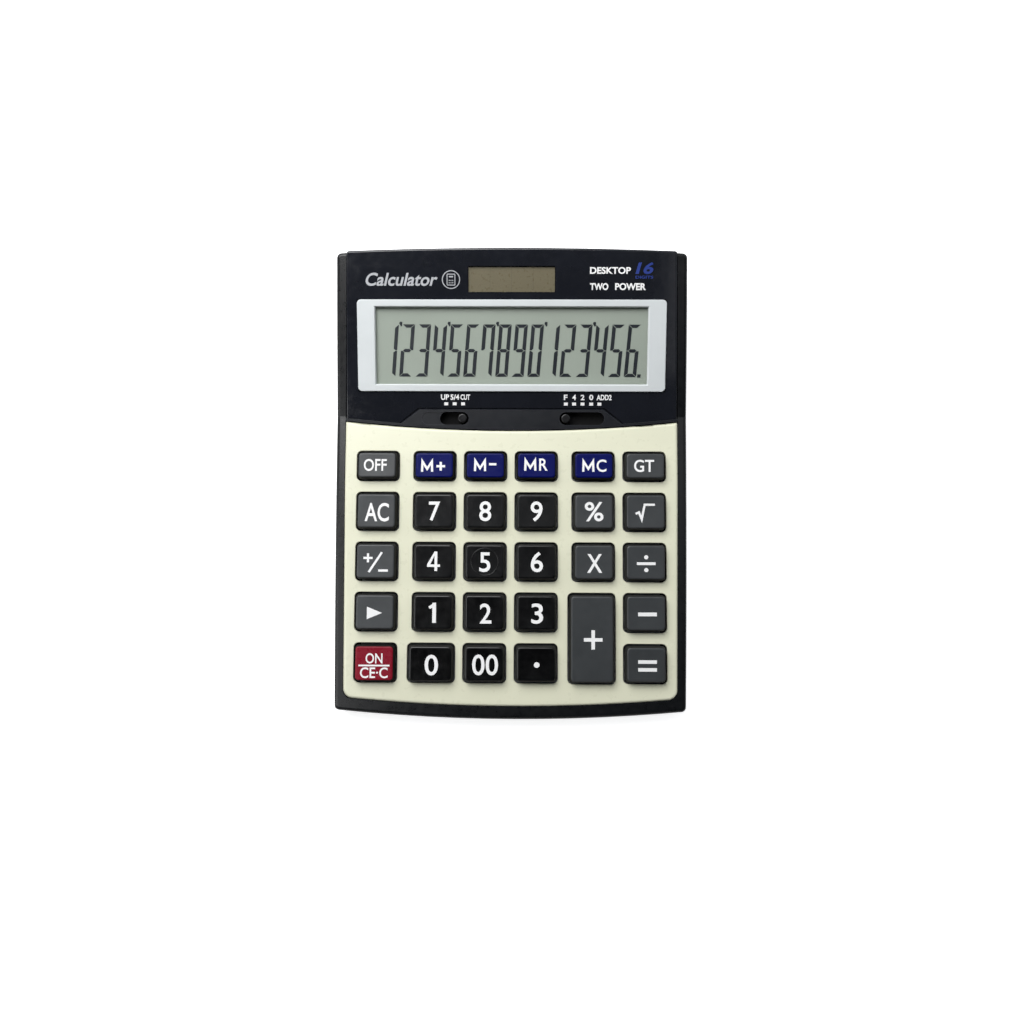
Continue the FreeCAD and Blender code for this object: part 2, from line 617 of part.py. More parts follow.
# ---------------------------------------------------------------- bodies of features

def plane(body, role):
    return [f for f in body.Origin.OriginFeatures if f.Role == role][0]


def body_sketch(body, name, z, corners, arcs=None):
    sketch = body.newObject("Sketcher::SketchObject", body.Label + "_" + name)
    sketch.AttachmentSupport = [(plane(body, "XY_Plane"), "")]
    sketch.MapMode = "FlatFace"
    sketch.setExpression(".AttachmentOffset.Base.z", bound(z))
    if corners:
        outline(sketch, corners, arcs)
    return sketch


def circle(sketch, radius, x="0", y="0"):
    number = sketch.addGeometry(Part.Circle(Vector(size(x), size(y), 0), Vector(0, 0, 1), size(radius)))
    for kind, text in (("DistanceX", x), ("DistanceY", y)):
        index = sketch.addConstraint(Sketcher.Constraint(kind, -1, 1, number, 3, size(text)))
        sketch.setExpression("Constraints[%d]" % index, bound(text))
    index = sketch.addConstraint(Sketcher.Constraint("Radius", number, size(radius)))
    sketch.setExpression("Constraints[%d]" % index, bound(radius))


def pad(body, name, sketch, length, taper=None, down=False):
    feature = body.newObject("PartDesign::Pad", body.Label + "_" + name)
    feature.Profile = sketch
    feature.Reversed = down
    if taper:
        feature.setExpression("TaperAngle", bound(taper))
    return bind(feature, Length=length)


def pocket(body, name, sketch, length, taper=None):
    """Pocket that cuts upward from its sketch."""
    feature = body.newObject("PartDesign::Pocket", body.Label + "_" + name)
    feature.Profile = sketch
    feature.Reversed = True
    if taper:
        feature.setExpression("TaperAngle", bound(taper))
    return bind(feature, Length=length)


def soften(body, name, base, radius, want):
    """Fillet on the edges of base that want picks."""
    doc.recompute()
    feature = body.newObject("PartDesign::Fillet", body.Label + "_" + name)
    feature.Base = (base, ["Edge%d" % i for i, e in enumerate(base.Shape.Edges, 1) if want(e)])
    return bind(feature, Radius=radius)


def make_key(label, x, y, width, length):
    """Hollow keycap: drafted crown, straight skirt, a flange that the deck holds down, a stem."""
    key = doc.addObject("PartDesign::Body", label)
    wide, long = "%s - 2 * key_gap" % width, "%s - 2 * key_gap" % length
    skirt = body_sketch(key, "skirt", FLANGE_UNDER, box_corners(wide, long))
    skirt = pad(key, "skirt_pad", skirt, "-(%s)" % FLANGE_UNDER)
    skirt = soften(key, "skirt_soft", skirt, "hole_corner - key_gap", upright)
    crown = body_sketch(key, "crown", "0", box_corners(wide, long))
    crown = pad(key, "crown_pad", crown, "key_height", "-key_draft")

    def crown_corner(edge):
        a, b = edge.Vertexes[0].Point, edge.Vertexes[-1].Point
        return min(a.z, b.z) > -0.01 and abs(a.z - b.z) > 1
    crown = soften(key, "crown_soft", crown, "hole_corner - key_gap", crown_corner)
    crown = soften(key, "crown_edge", crown, "key_round",
                   lambda e: level(e, size("key_height")))
    flange = body_sketch(key, "flange", FLANGE_UNDER,
                         box_corners("%s + 2 * flange_width" % width, "%s + 2 * flange_width" % length))
    pad(key, "flange_pad", flange, "flange_thickness")
    room = body_sketch(key, "room", FLANGE_UNDER,
                       box_corners("%s - 2 * key_wall" % wide, "%s - 2 * key_wall" % long))
    pocket(key, "room_cut", room, "key_height - key_roof - (%s)" % FLANGE_UNDER, "-cavity_draft")
    stem = body_sketch(key, "stem", FLANGE_UNDER, None)
    circle(stem, "stem_radius")
    pad(key, "stem_pad", stem, "key_height - key_roof / 2 - (%s)" % FLANGE_UNDER)
    if label == "key_5":
        ring = body_sketch(key, "ring", "key_height - ring_depth", None)
        circle(ring, "ring_radius")
        circle(ring, "ring_radius - ring_width")
        pocket(key, "ring_cut", ring, "ring_depth + 1")
    node(key, label, KEY_FRAME + " * " + at(x, y))


# ---------------------------------------------------------------- inside

def make_keypad():
    mat = block("mat_sheet", "2 * board_half", "-14.2 - board_front", "mat_thickness", "0",
                "(board_front - 14.2) / 2", BOARD_TOP)
    rise = "(%s) - (%s) - dome_gap" % (FLANGE_UNDER, MAT_TOP)
    domes = [cone("dome_" + label, "dome_base", "dome_top", rise, x, y, MAT_TOP)
             for label, x, y, width, length in LAYOUT]
    voids = [cone("dome_void_" + label, "dome_base - 0.9", "dome_top - 0.9",
                  "mat_thickness + (%s) - 0.6" % rise, x, y, BOARD_TOP)
             for label, x, y, width, length in LAYOUT]
    holes = [rod("mat_hole_%d" % i, "boss_radius + 0.3", "4", x, y, BOARD_TOP + " - 1")
             for i, (x, y) in enumerate(SMALL_BOSSES)]
    node(cut("rubber_keypad", fuse("mat_and_domes", [mat] + domes), fuse("mat_spaces", voids + holes)),
         "rubber_keypad", KEY_FRAME)


def make_board():
    board = block("board_sheet", "2 * board_half", "board_back - board_front", "board_thickness",
                  "0", "(board_back + board_front) / 2", BOARD_UNDER)
    holes = [rod("board_hole_%d" % i, "screw_radius + 0.2", "4", x, y, BOARD_UNDER + " - 1")
             for i, (x, y) in enumerate(SMALL_BOSSES)]
    node(cut("main_board", board, fuse("board_holes", holes)), "main_board", KEY_FRAME)
    blob = rod("blob_disc", "7", "1.4", "-20", "-16", BOARD_UNDER + " - 1.4")
    node(rounded("processor_blob", blob, lambda e: 0.9 if level(e, size(BOARD_UNDER + " - 1.4"))
                 else 0), "processor_blob", KEY_FRAME)
    pieces = [block("chip_%d" % i, "3.2", "1.6", "1.2", x, y, BOARD_UNDER + " - 1.2")
              for i, (x, y) in enumerate((("2", "-12"), ("8", "-12"), ("2", "-20"), ("-34", "-14")))]
    pieces.append(rod("can", "2.5", "3.0", "14", "-20", BOARD_UNDER + " - 3.0"))
    node(fuse("board_components", pieces), "board_components", KEY_FRAME)
    screws = []
    for i, (x, y) in enumerate(SMALL_BOSSES):
        head = rod("board_screw_head_%d" % i, "screw_radius + 1.1", "0.9", x, y,
                   BOARD_UNDER + " - 0.9")
        shank = rod("board_screw_shank_%d" % i, "screw_radius * 0.8", "board_thickness + 3", x, y,
                    BOARD_UNDER)
        screws.append(fuse("board_screw_%d" % i, [head, shank]))
    compound = doc.addObject("Part::Compound", "board_screws")
    compound.Links = screws
    node(compound, "board_screws", KEY_FRAME)


def make_case_screws():
    screws = []
    for i, (x, y) in enumerate(CASE_BOSSES):
        head = rod("case_screw_head_%d" % i, "screw_head_radius", "screw_head_height", x, y,
                   "underside + 2.6 - screw_head_height")
        shank = rod("case_screw_shank_%d" % i, "screw_radius", "6.2", x, y, "underside + 2.6")
        drive = [block("case_screw_slot_%d%s" % (i, way), *size_of, x, y,
                       "underside + 2.6 - screw_head_height")
                 for way, size_of in (("a", ("3", "0.7", "0.9")), ("b", ("0.7", "3", "0.9")))]
        screws.append(cut("case_screw_%d" % i, fuse("case_screw_blank_%d" % i, [head, shank]),
                          fuse("case_screw_drive_%d" % i, drive)))
    compound = doc.addObject("Part::Compound", "case_screws")
    compound.Links = screws
    node(compound, "case_screws")


def make_ribbon():
    """Flexible strip from the display glass down to the board."""
    sin_d, cos_d = "sin(display_slope * 1deg)", "cos(display_slope * 1deg)"
    glass_under = "(window_top - window_thickness - glass_thickness)"

    def on_glass(slope_y, lift):
        height = "(%s - %s)" % (glass_under, lift)
        return ("junction_y + %s * %s - %s * %s" % (slope_y, cos_d, height, sin_d),
                "junction_z + %s * %s + %s * %s" % (slope_y, sin_d, height, cos_d))

    def on_board(slope_y, lift):
        return ("junction_y + %s" % slope_y,
                "junction_z + %s * %s + (%s + %s) / cos(key_slope * 1deg)"
                % (slope_y, TAN_KEY, BOARD_TOP, lift))
    profile = [on_board("6.8", "0"), on_board("9.2", "0"), on_board("9.2", "0.2"),
               on_board("7.2", "0.2"), on_glass("13.1", "0.2"), on_glass("14.8", "0.2"),
               on_glass("14.8", "0"), on_glass("12.8", "0")]
    node(band("lcd_ribbon", profile, "46"), "lcd_ribbon")


# ---------------------------------------------------------------- battery

def make_battery():
    cover = doc.addObject("PartDesign::Body", "battery_cover")
    plan = mirrored([("channel_half - cover_gap", "channel_front + cover_gap"),
                     ("channel_half - cover_gap", "cover_back")])
    plate = pad(cover, "plate", body_sketch(cover, "plan", "underside", plan),
                "cover_top - underside")
    plate = soften(cover, "soft", plate, "0.8",
                   lambda e: level(e, size("underside")) and e.BoundBox.YMin > size("cover_back") - 0.1)
    for i in range(4):
        ridge = body_sketch(cover, "grip_%d" % i, "underside",
                            box_corners("12", "0.8", "0", "channel_front + %s" % (24 + 2 * i)))
        pocket(cover, "grip_cut_%d" % i, ridge, "0.5")
    node(cover, "battery_cover")
    cell = fuse("cell_blank", [
        rod("cell_can", "cell_radius", "cell_height - 0.5", "0", "bay_y", "cell_bottom"),
        rod("cell_cap", "cell_radius - 0.8", "0.5", "0", "bay_y", "cell_bottom + cell_height - 0.5")])
    node(cell, "battery_cell")
    spring = cone("contact_spring", "2.4", "1.2", "1.0", "0", "bay_y", "cell_bottom + cell_height")
    tail = block("contact_tail", "1.6", "1.6", "0.9", "0", "bay_y", "cell_bottom + cell_height + 0.9")
    node(fuse("negative_metal", [spring, tail]), "battery_contact_negative")
    node(block("battery_contact_positive", "contact_thickness", "3", "cell_height + 1.6",
               "-cell_radius - 0.2", "bay_y", "cell_bottom + 0.2"), "battery_contact_positive")


def make_lead(label, route):
    """Round wire along straight runs joined by arcs that touch both."""
    points = [Vector(*p) for p in route]
    edges, start = [], points[0]
    for before, corner, after in zip(points, points[1:], points[2:]):
        into, out = (corner - before), (after - corner)
        turn = into.getAngle(out)
        reach = 0.45 * min(into.Length, out.Length)
        a = corner - into.normalize() * reach
        b = corner + out.normalize() * reach
        radius = reach / math.tan(turn / 2)
        centre_way = (a - corner).normalize() + (b - corner).normalize()
        middle = corner + centre_way.normalize() * (radius / math.cos(turn / 2) - radius)
        edges.append(Part.LineSegment(start, a).toShape())
        edges.append(Part.Arc(a, middle, b).toShape())
        start = b
    edges.append(Part.LineSegment(start, points[-1]).toShape())
    path = Part.Wire(edges)
    ring = Part.Wire(Part.makeCircle(size("lead_radius"), points[0], points[1] - points[0]))
    wire = doc.addObject("Part::Feature", label)
    wire.Shape = path.makePipeShell([ring], True, False)
    node(wire, label)


def make_leads():
    """One wire from each battery contact, up over the bay and forward to the board's back edge."""
    bay, edge = size("bay_y"), size("junction_y + board_back + 0.43")
    top = size("cell_bottom + cell_height + 1.8")
    make_lead("battery_lead_negative", [
        (0, bay, top), (0, bay, top + 3.6), (0.6, bay - 2.6, top + 6.2),
        (2.4, bay - 8.2, top + 6.0), (5.2, bay - 17.4, top + 4.8), (7.8, bay - 26, top + 2.8),
        (8.8, edge + 4, top + 1.3), (9, edge, top + 1.0)])
    make_lead("battery_lead_positive", [
        (-6.0, bay, top), (-6.0, bay, top + 3.6), (-6.4, bay - 2.6, top + 6.2),
        (-7.6, bay - 8.2, top + 6.1), (-8.8, bay - 17.4, top + 5.0), (-9.6, bay - 26, top + 3.0),
        (-10, edge + 4, top + 1.3), (-10, edge, top + 1.0)])


# ---------------------------------------------------------------- build

make_upper_case()
make_lower_case()
make_key_plate()
make_display_panel()
make_display()
make_trim()
make_switch("rounding_switch_knob", "rounding_wiper", "left_knob_x", "left_slot_start")
make_switch("decimal_switch_knob", "decimal_wiper", "right_knob_x", "right_slot_end")
for entry in LAYOUT:
    make_key(*entry)
make_keypad()
make_board()
make_case_screws()
make_ribbon()
make_battery()
make_leads()
feet = doc.addObject("Part::Compound", "rubber_feet")
feet.Links = [rod("foot_%d" % i, "foot_radius", "underside + foot_sink", x, y)
              for i, (x, y) in enumerate(FEET)]
node(feet, "rubber_feet")

doc.recompute()
bad = [o.Label for o in doc.Objects if "Invalid" in o.State or "Error" in o.State]
assert not bad, "failed features: %s" % bad
os.makedirs("parts", exist_ok=True)
for thing in NODES:
    shape = thing.Shape
    assert not shape.isNull() and shape.isValid() and shape.Volume > 0, thing.Label
    shape.exportStep("parts/%s.step" % thing.Label)
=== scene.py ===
import json
import math

import bmesh
import bpy
from mathutils import Matrix, Vector


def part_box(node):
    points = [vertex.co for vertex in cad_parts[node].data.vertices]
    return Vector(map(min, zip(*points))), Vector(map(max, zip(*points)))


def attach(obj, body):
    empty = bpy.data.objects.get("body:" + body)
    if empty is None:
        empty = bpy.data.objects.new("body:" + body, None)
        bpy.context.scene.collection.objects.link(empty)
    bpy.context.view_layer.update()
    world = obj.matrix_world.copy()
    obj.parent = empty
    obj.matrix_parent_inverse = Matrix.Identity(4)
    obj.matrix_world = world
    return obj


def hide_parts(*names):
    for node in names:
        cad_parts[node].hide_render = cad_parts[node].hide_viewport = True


# Desk calculator: the looks.  Lengths of printed and moulded details are in millimetres on the face
# that carries them; everything handed to Blender is in metres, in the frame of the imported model.

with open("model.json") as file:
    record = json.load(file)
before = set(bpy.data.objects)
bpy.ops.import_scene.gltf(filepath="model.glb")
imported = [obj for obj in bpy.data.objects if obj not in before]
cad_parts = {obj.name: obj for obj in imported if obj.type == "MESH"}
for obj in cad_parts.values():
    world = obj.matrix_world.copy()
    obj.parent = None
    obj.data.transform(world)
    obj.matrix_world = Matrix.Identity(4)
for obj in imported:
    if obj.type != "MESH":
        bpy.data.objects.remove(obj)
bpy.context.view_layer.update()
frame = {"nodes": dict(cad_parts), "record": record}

MM = 0.001
PRINT_THICKNESS = 0.03       # ink and film stand this far off their face
PRINT_LIFT = 0.008


def srgb(red, green, blue):
    """Linear colour from 0 to 255 display values."""
    def linear(value):
        value /= 255
        return value / 12.92 if value <= 0.04045 else ((value + 0.055) / 1.055) ** 2.4
    return linear(red), linear(green), linear(blue)


# ---------------------------------------------------------------- materials

class Graph:
    """A material whose nodes are added and joined one call at a time."""

    def __init__(self, name):
        self.material = bpy.data.materials.new(name)
        self.material.use_nodes = True
        self.nodes = self.material.node_tree.nodes
        self.links = self.material.node_tree.links
        self.nodes.clear()
        self.output = self.nodes.new("ShaderNodeOutputMaterial")
        self.place = self.nodes.new("ShaderNodeTexCoord").outputs["Object"]

    def add(self, kind, inputs=None, **settings):
        """New node; an input may be a value or another node's output."""
        made = self.nodes.new("ShaderNode" + kind)
        for key, value in settings.items():
            setattr(made, key, value)
        for key, value in (inputs or {}).items():
            if isinstance(value, bpy.types.NodeSocket):
                self.links.new(value, made.inputs[key])
            else:
                made.inputs[key].default_value = value
        return made

    def noise(self, size, detail=3.0, roughness=0.55):
        """Noise whose features are about size millimetres across, from 0 to 1."""
        made = self.add("TexNoise", {"Vector": self.place, "Scale": 1 / (size * MM), "Detail": detail,
                                     "Roughness": roughness})
        return made.outputs["Fac"]

    def ramp(self, value, low, high, start=0.0, end=1.0):
        """value mapped smoothly from low..high to start..end."""
        made = self.add("MapRange", {"Value": value, "From Min": low, "From Max": high,
                                     "To Min": start, "To Max": end}, interpolation_type="SMOOTHSTEP")
        return made.outputs["Result"]

    def mix(self, factor, first, second):
        made = self.add("Mix", {"Factor": factor}, data_type="RGBA")
        for socket, value in ((made.inputs[6], first), (made.inputs[7], second)):
            if isinstance(value, bpy.types.NodeSocket):
                self.links.new(value, socket)
            else:
                socket.default_value = (*value[:3], 1)
        return made.outputs[2]

    def facing(self, way):
        """Cosine between the surface and a direction."""
        made = self.add("VectorMath", {0: self.add("NewGeometry").outputs["Normal"], 1: tuple(way)},
                        operation="DOT_PRODUCT")
        return made.outputs["Value"]

    def edges(self, radius, strength):
        """Mask of the edges sharper than radius millimetres."""
        bevel = self.add("Bevel", {"Radius": radius * MM}, samples=4).outputs["Normal"]
        true = self.add("NewGeometry").outputs["Normal"]
        dot = self.add("VectorMath", {0: bevel, 1: true}, operation="DOT_PRODUCT").outputs["Value"]
        return self.ramp(dot, 0.995, 0.90, 0.0, strength)

    def bump(self, height, depth, strength=1.0):
        """Normal of a relief depth millimetres deep."""
        made = self.add("Bump", {"Height": height, "Distance": depth * MM, "Strength": strength})
        return made.outputs["Normal"]

    def finish(self, shader):
        self.links.new(shader, self.output.inputs["Surface"])
        return self.material


def shade(colour, factor):
    return tuple(min(1.0, c * factor) for c in colour)


def plastic(name, colour, rough, mottle=0.06, grain=0.25, relief=0.004, specular=0.5,
            wear_and_highlight=0.0, wear_and_highlight_colour=None, side=None, slot_painted_shade=None):
    """Moulded plastic: faint mottling, a fine moulded grain, uneven gloss, lightened edges that are
    partly wear and partly a painted highlight, for a keycap painted shade on its skirt, given as
    (direction out of the key's face, colour), and for a knob painted shade on the slider down in
    its slot, given as the heights where the knob's own finish fades in."""
    graph = Graph(name)
    patches = graph.noise(14.0, 4.0)
    tone = graph.mix(graph.ramp(patches, 0.3, 0.7), shade(colour, 1 - mottle), shade(colour, 1 + mottle))
    gloss = graph.add("MapRange", {"Value": graph.noise(3.0, 5.0), "From Min": 0.3, "From Max": 0.7,
                                   "To Min": max(0.03, rough - 0.05),
                                   "To Max": rough + 0.05}).outputs["Result"]
    # Painted shade: keycap faces turned away from the key's top (the skirt and drafted sides) are darkened
    # towards the given near-black, standing in for the shade beside the key.
    if side:
        out, dark = side
        tone = graph.mix(graph.ramp(graph.facing(out), 0.55, 0.82), dark, tone)
        dull = graph.ramp(graph.facing(out), 0.60, 0.84, 0.85, 0.0)
        gloss = graph.add("Math", {0: gloss, 1: dull}, operation="MAXIMUM").outputs["Value"]
    # Lightened sharp edges: partly edge wear, partly a painted highlight along rims and chamfers.
    if wear_and_highlight:
        tone = graph.mix(graph.edges(0.35, wear_and_highlight), tone, wear_and_highlight_colour or shade(colour, 1.5))
    # Painted shade: below the given heights the piece is near-black and dull, standing in for the shade
    # down in a switch slot.
    if slot_painted_shade:
        height = graph.add("SeparateXYZ", {"Vector": graph.place}).outputs["Z"]
        tone = graph.mix(graph.ramp(height, *slot_painted_shade), srgb(2, 2, 3), tone)
        gloss = graph.add("Math", {0: gloss, 1: graph.ramp(height, *slot_painted_shade, 0.95, 0.0)},
                          operation="MAXIMUM").outputs["Value"]
    shader = graph.add("BsdfPrincipled", {
        "Base Color": tone, "Roughness": gloss, "Specular IOR Level": specular,
        "Normal": graph.bump(graph.noise(grain, 2.0), relief)})
    return graph.finish(shader.outputs["BSDF"])


def rubber(name, colour):
    return plastic(name, colour, 0.75, mottle=0.12, grain=0.35, relief=0.01, specular=0.3)


def metal(name, colour, rough, brushed=0.4):
    """Plated or brushed metal with fine uneven scratches."""
    graph = Graph(name)
    streak = graph.add("Mapping", {"Vector": graph.place, "Scale": (1.0, 12.0, 1.0)})
    lines = graph.add("TexNoise", {"Vector": streak.outputs["Vector"], "Scale": 1800.0, "Detail": 4.0})
    tone = graph.mix(lines.outputs["Fac"], shade(colour, 0.82), shade(colour, 1.12))
    gloss = graph.add("MapRange", {"Value": lines.outputs["Fac"], "To Min": rough,
                                   "To Max": rough + 0.15})
    shader = graph.add("BsdfPrincipled", {
        "Base Color": tone, "Metallic": 1.0, "Roughness": gloss.outputs["Result"],
        "Normal": graph.bump(lines.outputs["Fac"], 0.004, brushed)})
    return graph.finish(shader.outputs["BSDF"])


def ink(name, colour, rough=0.45):
    """Printed ink: nearly flat colour with the pores of a screen print."""
    return plastic(name, colour, rough, mottle=0.03, grain=0.12, relief=0.002, specular=0.35)


def clear(name, tint, rough=0.04):
    """Clear window: light passes straight through, and the face reflects a little."""
    graph = Graph(name)
    through = graph.add("BsdfTransparent", {"Color": (*tint, 1)}).outputs["BSDF"]
    wipe = graph.add("MapRange", {"Value": graph.noise(9.0, 5.0), "From Min": 0.35, "From Max": 0.75,
                                  "To Min": rough, "To Max": rough + 0.06})
    sheen = graph.add("BsdfGlossy", {"Roughness": wipe.outputs["Result"], "Color": (1, 1, 1, 1),
                                     "Normal": graph.bump(graph.noise(30.0), 0.01, 0.3)})
    front = graph.add("Math", {0: 1.0, 1: graph.add("NewGeometry").outputs["Backfacing"]},
                      operation="SUBTRACT").outputs["Value"]
    amount = graph.add("Math", {0: graph.add("Fresnel", {"IOR": 1.40}).outputs["Fac"], 1: front},
                       operation="MULTIPLY").outputs["Value"]
    made = graph.add("MixShader", {0: amount, 1: through, 2: sheen.outputs["BSDF"]})
    return graph.finish(made.outputs["Shader"])


def display_glass(name, colour):
    """Reflective liquid crystal glass: silvery grey-green with a very fine sparkle."""
    graph = Graph(name)
    cloud = graph.mix(graph.ramp(graph.noise(40.0, 2.0), 0.3, 0.7), shade(colour, 0.95),
                      shade(colour, 1.04))
    tone = graph.mix(graph.ramp(graph.noise(0.18, 2.0), 0.42, 0.62, 0.0, 0.16), cloud,
                     shade(colour, 1.35))
    shader = graph.add("BsdfPrincipled", {
        "Base Color": tone, "Roughness": graph.ramp(graph.noise(0.2), 0.3, 0.7, 0.32, 0.45),
        "Specular IOR Level": 0.4, "Normal": graph.bump(graph.noise(0.2), 0.003)})
    return graph.finish(shader.outputs["BSDF"])


def solar_film(name, colour, strips):
    """Amorphous silicon cell: brown film split into strips by hair-thin lines."""
    graph = Graph(name)
    low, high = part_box("solar_cell")
    run = graph.add("SeparateXYZ", {"Vector": graph.place}).outputs["X"]
    along = graph.add("MapRange", {"Value": run, "From Min": low.x, "From Max": high.x,
                                   "To Min": 0.0, "To Max": float(strips)}).outputs["Result"]
    part = graph.add("Math", {0: along}, operation="FRACT").outputs["Value"]
    centre = graph.add("Math", {0: part, 1: 0.5}, operation="SUBTRACT").outputs["Value"]
    gap = graph.ramp(graph.add("Math", {0: centre}, operation="ABSOLUTE").outputs["Value"],
                     0.480, 0.496, 0.0, 0.3)
    film = graph.mix(graph.ramp(graph.noise(12.0, 2.0), 0.3, 0.7), shade(colour, 0.99),
                     shade(colour, 1.01))
    tone = graph.mix(gap, film, shade(colour, 0.45))
    shader = graph.add("BsdfPrincipled", {
        "Base Color": tone, "Roughness": graph.ramp(graph.noise(1.5), 0.3, 0.7, 0.27, 0.30),
        "Specular IOR Level": 0.5, "Normal": graph.bump(graph.noise(0.4), 0.0006)})
    return graph.finish(shader.outputs["BSDF"])


def board_laminate(name, colour):
    """Green circuit board with the faint lighter lines of its copper tracks."""
    graph = Graph(name)
    cells = graph.add("TexBrick", {"Vector": graph.place, "Scale": 120.0, "Mortar Size": 0.04,
                                   "Mortar Smooth": 0.4, "Color1": (0, 0, 0, 1),
                                   "Color2": (0.1, 0.1, 0.1, 1), "Mortar": (1, 1, 1, 1)})
    tone = graph.mix(cells.outputs["Fac"], colour, shade(colour, 2.2))
    shader = graph.add("BsdfPrincipled", {
        "Base Color": tone, "Roughness": graph.ramp(graph.noise(2.0), 0.3, 0.7, 0.35, 0.5),
        "Normal": graph.bump(cells.outputs["Fac"], 0.03)})
    return graph.finish(shader.outputs["BSDF"])


# ---------------------------------------------------------------- faces that carry details

def face(node):
    """Frame on a CAD node's main upward face (right, up the slope, out; its origin at the middle)
    and the face's half width and half length in millimetres."""
    mesh = frame["nodes"][node].data
    upward = [p for p in mesh.polygons if p.normal.z > 0.7]
    main = max(upward, key=lambda p: p.area)
    flat = [p for p in upward if (p.normal - main.normal).length < 0.01
            and abs((p.center - main.center).dot(main.normal)) < 0.02 * MM]
    out = main.normal.normalized()
    right = Vector((1, 0, 0))
    up = out.cross(right).normalized()
    corners = [mesh.vertices[i].co for p in flat for i in p.vertices]
    across = [c.dot(right) for c in corners]
    along = [c.dot(up) for c in corners]
    centre = (right * (min(across) + max(across)) / 2 + up * (min(along) + max(along)) / 2
              + out * main.center.dot(out))
    place = Matrix((right, up, out)).transposed().to_4x4()
    place.translation = centre
    return place, (max(across) - min(across)) / 2 / MM, (max(along) - min(along)) / 2 / MM


# ---------------------------------------------------------------- printed pieces

class Print:
    """Flat shapes laid on a face and given the thickness of a layer of ink, in one piece."""

    def __init__(self):
        self.flat = bmesh.new()

    def polygon(self, points):
        self.flat.faces.new([self.flat.verts.new((x, y, 0)) for x, y in points])

    def bar(self, x0, y0, x1, y1, width):
        """Straight stroke between two points, square at its ends."""
        run = Vector((x1 - x0, y1 - y0)).normalized() * width / 2
        side = Vector((-run.y, run.x))
        start, end = Vector((x0, y0)), Vector((x1, y1))
        self.polygon([start + side, start - side, end - side, end + side])

    def path(self, points, width):
        """Stroke along several points with mitred corners."""
        points = [Vector(p) for p in points]
        left, right = [], []
        for i, point in enumerate(points):
            before = (point - points[i - 1]).normalized() if i else None
            after = (points[i + 1] - point).normalized() if i + 1 < len(points) else None
            run = ((before or after) + (after or before)).normalized()
            side = Vector((-run.y, run.x))
            reach = width / 2 / max(0.3, side.dot(Vector((-(after or before).y, (after or before).x))))
            left.append(point + side * reach)
            right.append(point - side * reach)
        for i in range(len(points) - 1):
            self.polygon([left[i], right[i], right[i + 1], left[i + 1]])

    def disc(self, x, y, radius, sides=24):
        self.polygon([(x + radius * math.cos(math.tau * i / sides),
                       y + radius * math.sin(math.tau * i / sides)) for i in range(sides)])

    def frame(self, x, y, half_width, half_length, line):
        """Rectangular outline."""
        w, l = half_width, half_length
        for x0, y0, x1, y1 in ((-w, -l, w, -l), (-w, l, w, l)):
            self.bar(x + x0, y + y0, x + x1, y + y1, line)
        for side in (-w, w):
            self.bar(x + side, y - l + line / 2, x + side, y + l - line / 2, line)

    def text(self, words, width, height, x=0.0, y=0.0, bold=0.02, lean=0.0):
        """Words fitted to a width and a height and centred on x, y."""
        curve = bpy.data.curves.new("words", "FONT")
        curve.body, curve.size, curve.offset, curve.resolution_u = words, 1.0, bold, 4
        thing = bpy.data.objects.new("words", curve)
        bpy.context.scene.collection.objects.link(thing)
        graph = bpy.context.evaluated_depsgraph_get()
        mesh = bpy.data.meshes.new_from_object(thing.evaluated_get(graph))
        spots = [v.co for v in mesh.vertices]
        low = Vector((min(p.x for p in spots), min(p.y for p in spots)))
        high = Vector((max(p.x for p in spots), max(p.y for p in spots)))
        slant = math.tan(lean)
        for v in mesh.vertices:
            across = (v.co.x - low.x) / (high.x - low.x) - 0.5
            along = (v.co.y - low.y) / (high.y - low.y) - 0.5
            v.co = Vector((x + across * width + along * height * slant, y + along * height, 0))
        self.flat.from_mesh(mesh)
        bpy.data.objects.remove(thing)
        bpy.data.curves.remove(curve)
        bpy.data.meshes.remove(mesh)

    def ring(self, x, y, radius, line, sides=48):
        """Circular outline."""
        way = [(math.cos(math.tau * i / sides), math.sin(math.tau * i / sides)) for i in range(sides)]
        for (c0, s0), (c1, s1) in zip(way, way[1:] + way[:1]):
            near, far = radius - line / 2, radius + line / 2
            self.polygon([(x + near * c0, y + near * s0), (x + far * c0, y + far * s0),
                          (x + far * c1, y + far * s1), (x + near * c1, y + near * s1)])

    def move(self, x, y):
        bmesh.ops.translate(self.flat, verts=self.flat.verts, vec=(x, y, 0))

    def lay(self, name, place, body, material, lift=PRINT_LIFT, thickness=PRINT_THICKNESS,
            height=None):
        """The finished piece, standing on the face at place and riding on body.  height(x, y) is
        the level of a face that isn't flat."""
        bm = self.flat
        bmesh.ops.remove_doubles(bm, verts=bm.verts, dist=1e-4)
        if height:
            for step in range(-14, 15):
                for way in ((1, 0, 0), (0, 1, 0)):
                    bmesh.ops.bisect_plane(bm, geom=bm.verts[:] + bm.edges[:] + bm.faces[:],
                                           plane_co=Vector(way) * step, plane_no=way, dist=1e-5)
            for v in bm.verts:
                v.co.z = height(v.co.x, v.co.y)
        bmesh.ops.recalc_face_normals(bm, faces=bm.faces)
        for f in bm.faces:
            f.smooth = False
            if f.normal.z < 0:
                f.normal_flip()
        grown = bmesh.ops.extrude_face_region(bm, geom=list(bm.faces), use_keep_orig=True)
        lifted = [g for g in grown["geom"] if isinstance(g, bmesh.types.BMVert)]
        bmesh.ops.translate(bm, verts=lifted, vec=(0, 0, thickness))
        bmesh.ops.recalc_face_normals(bm, faces=bm.faces)
        bmesh.ops.transform(bm, verts=bm.verts, matrix=place @ Matrix.Translation((0, 0, lift * MM))
                            @ Matrix.Scale(MM, 4))
        return solid(name, bm, body, material)


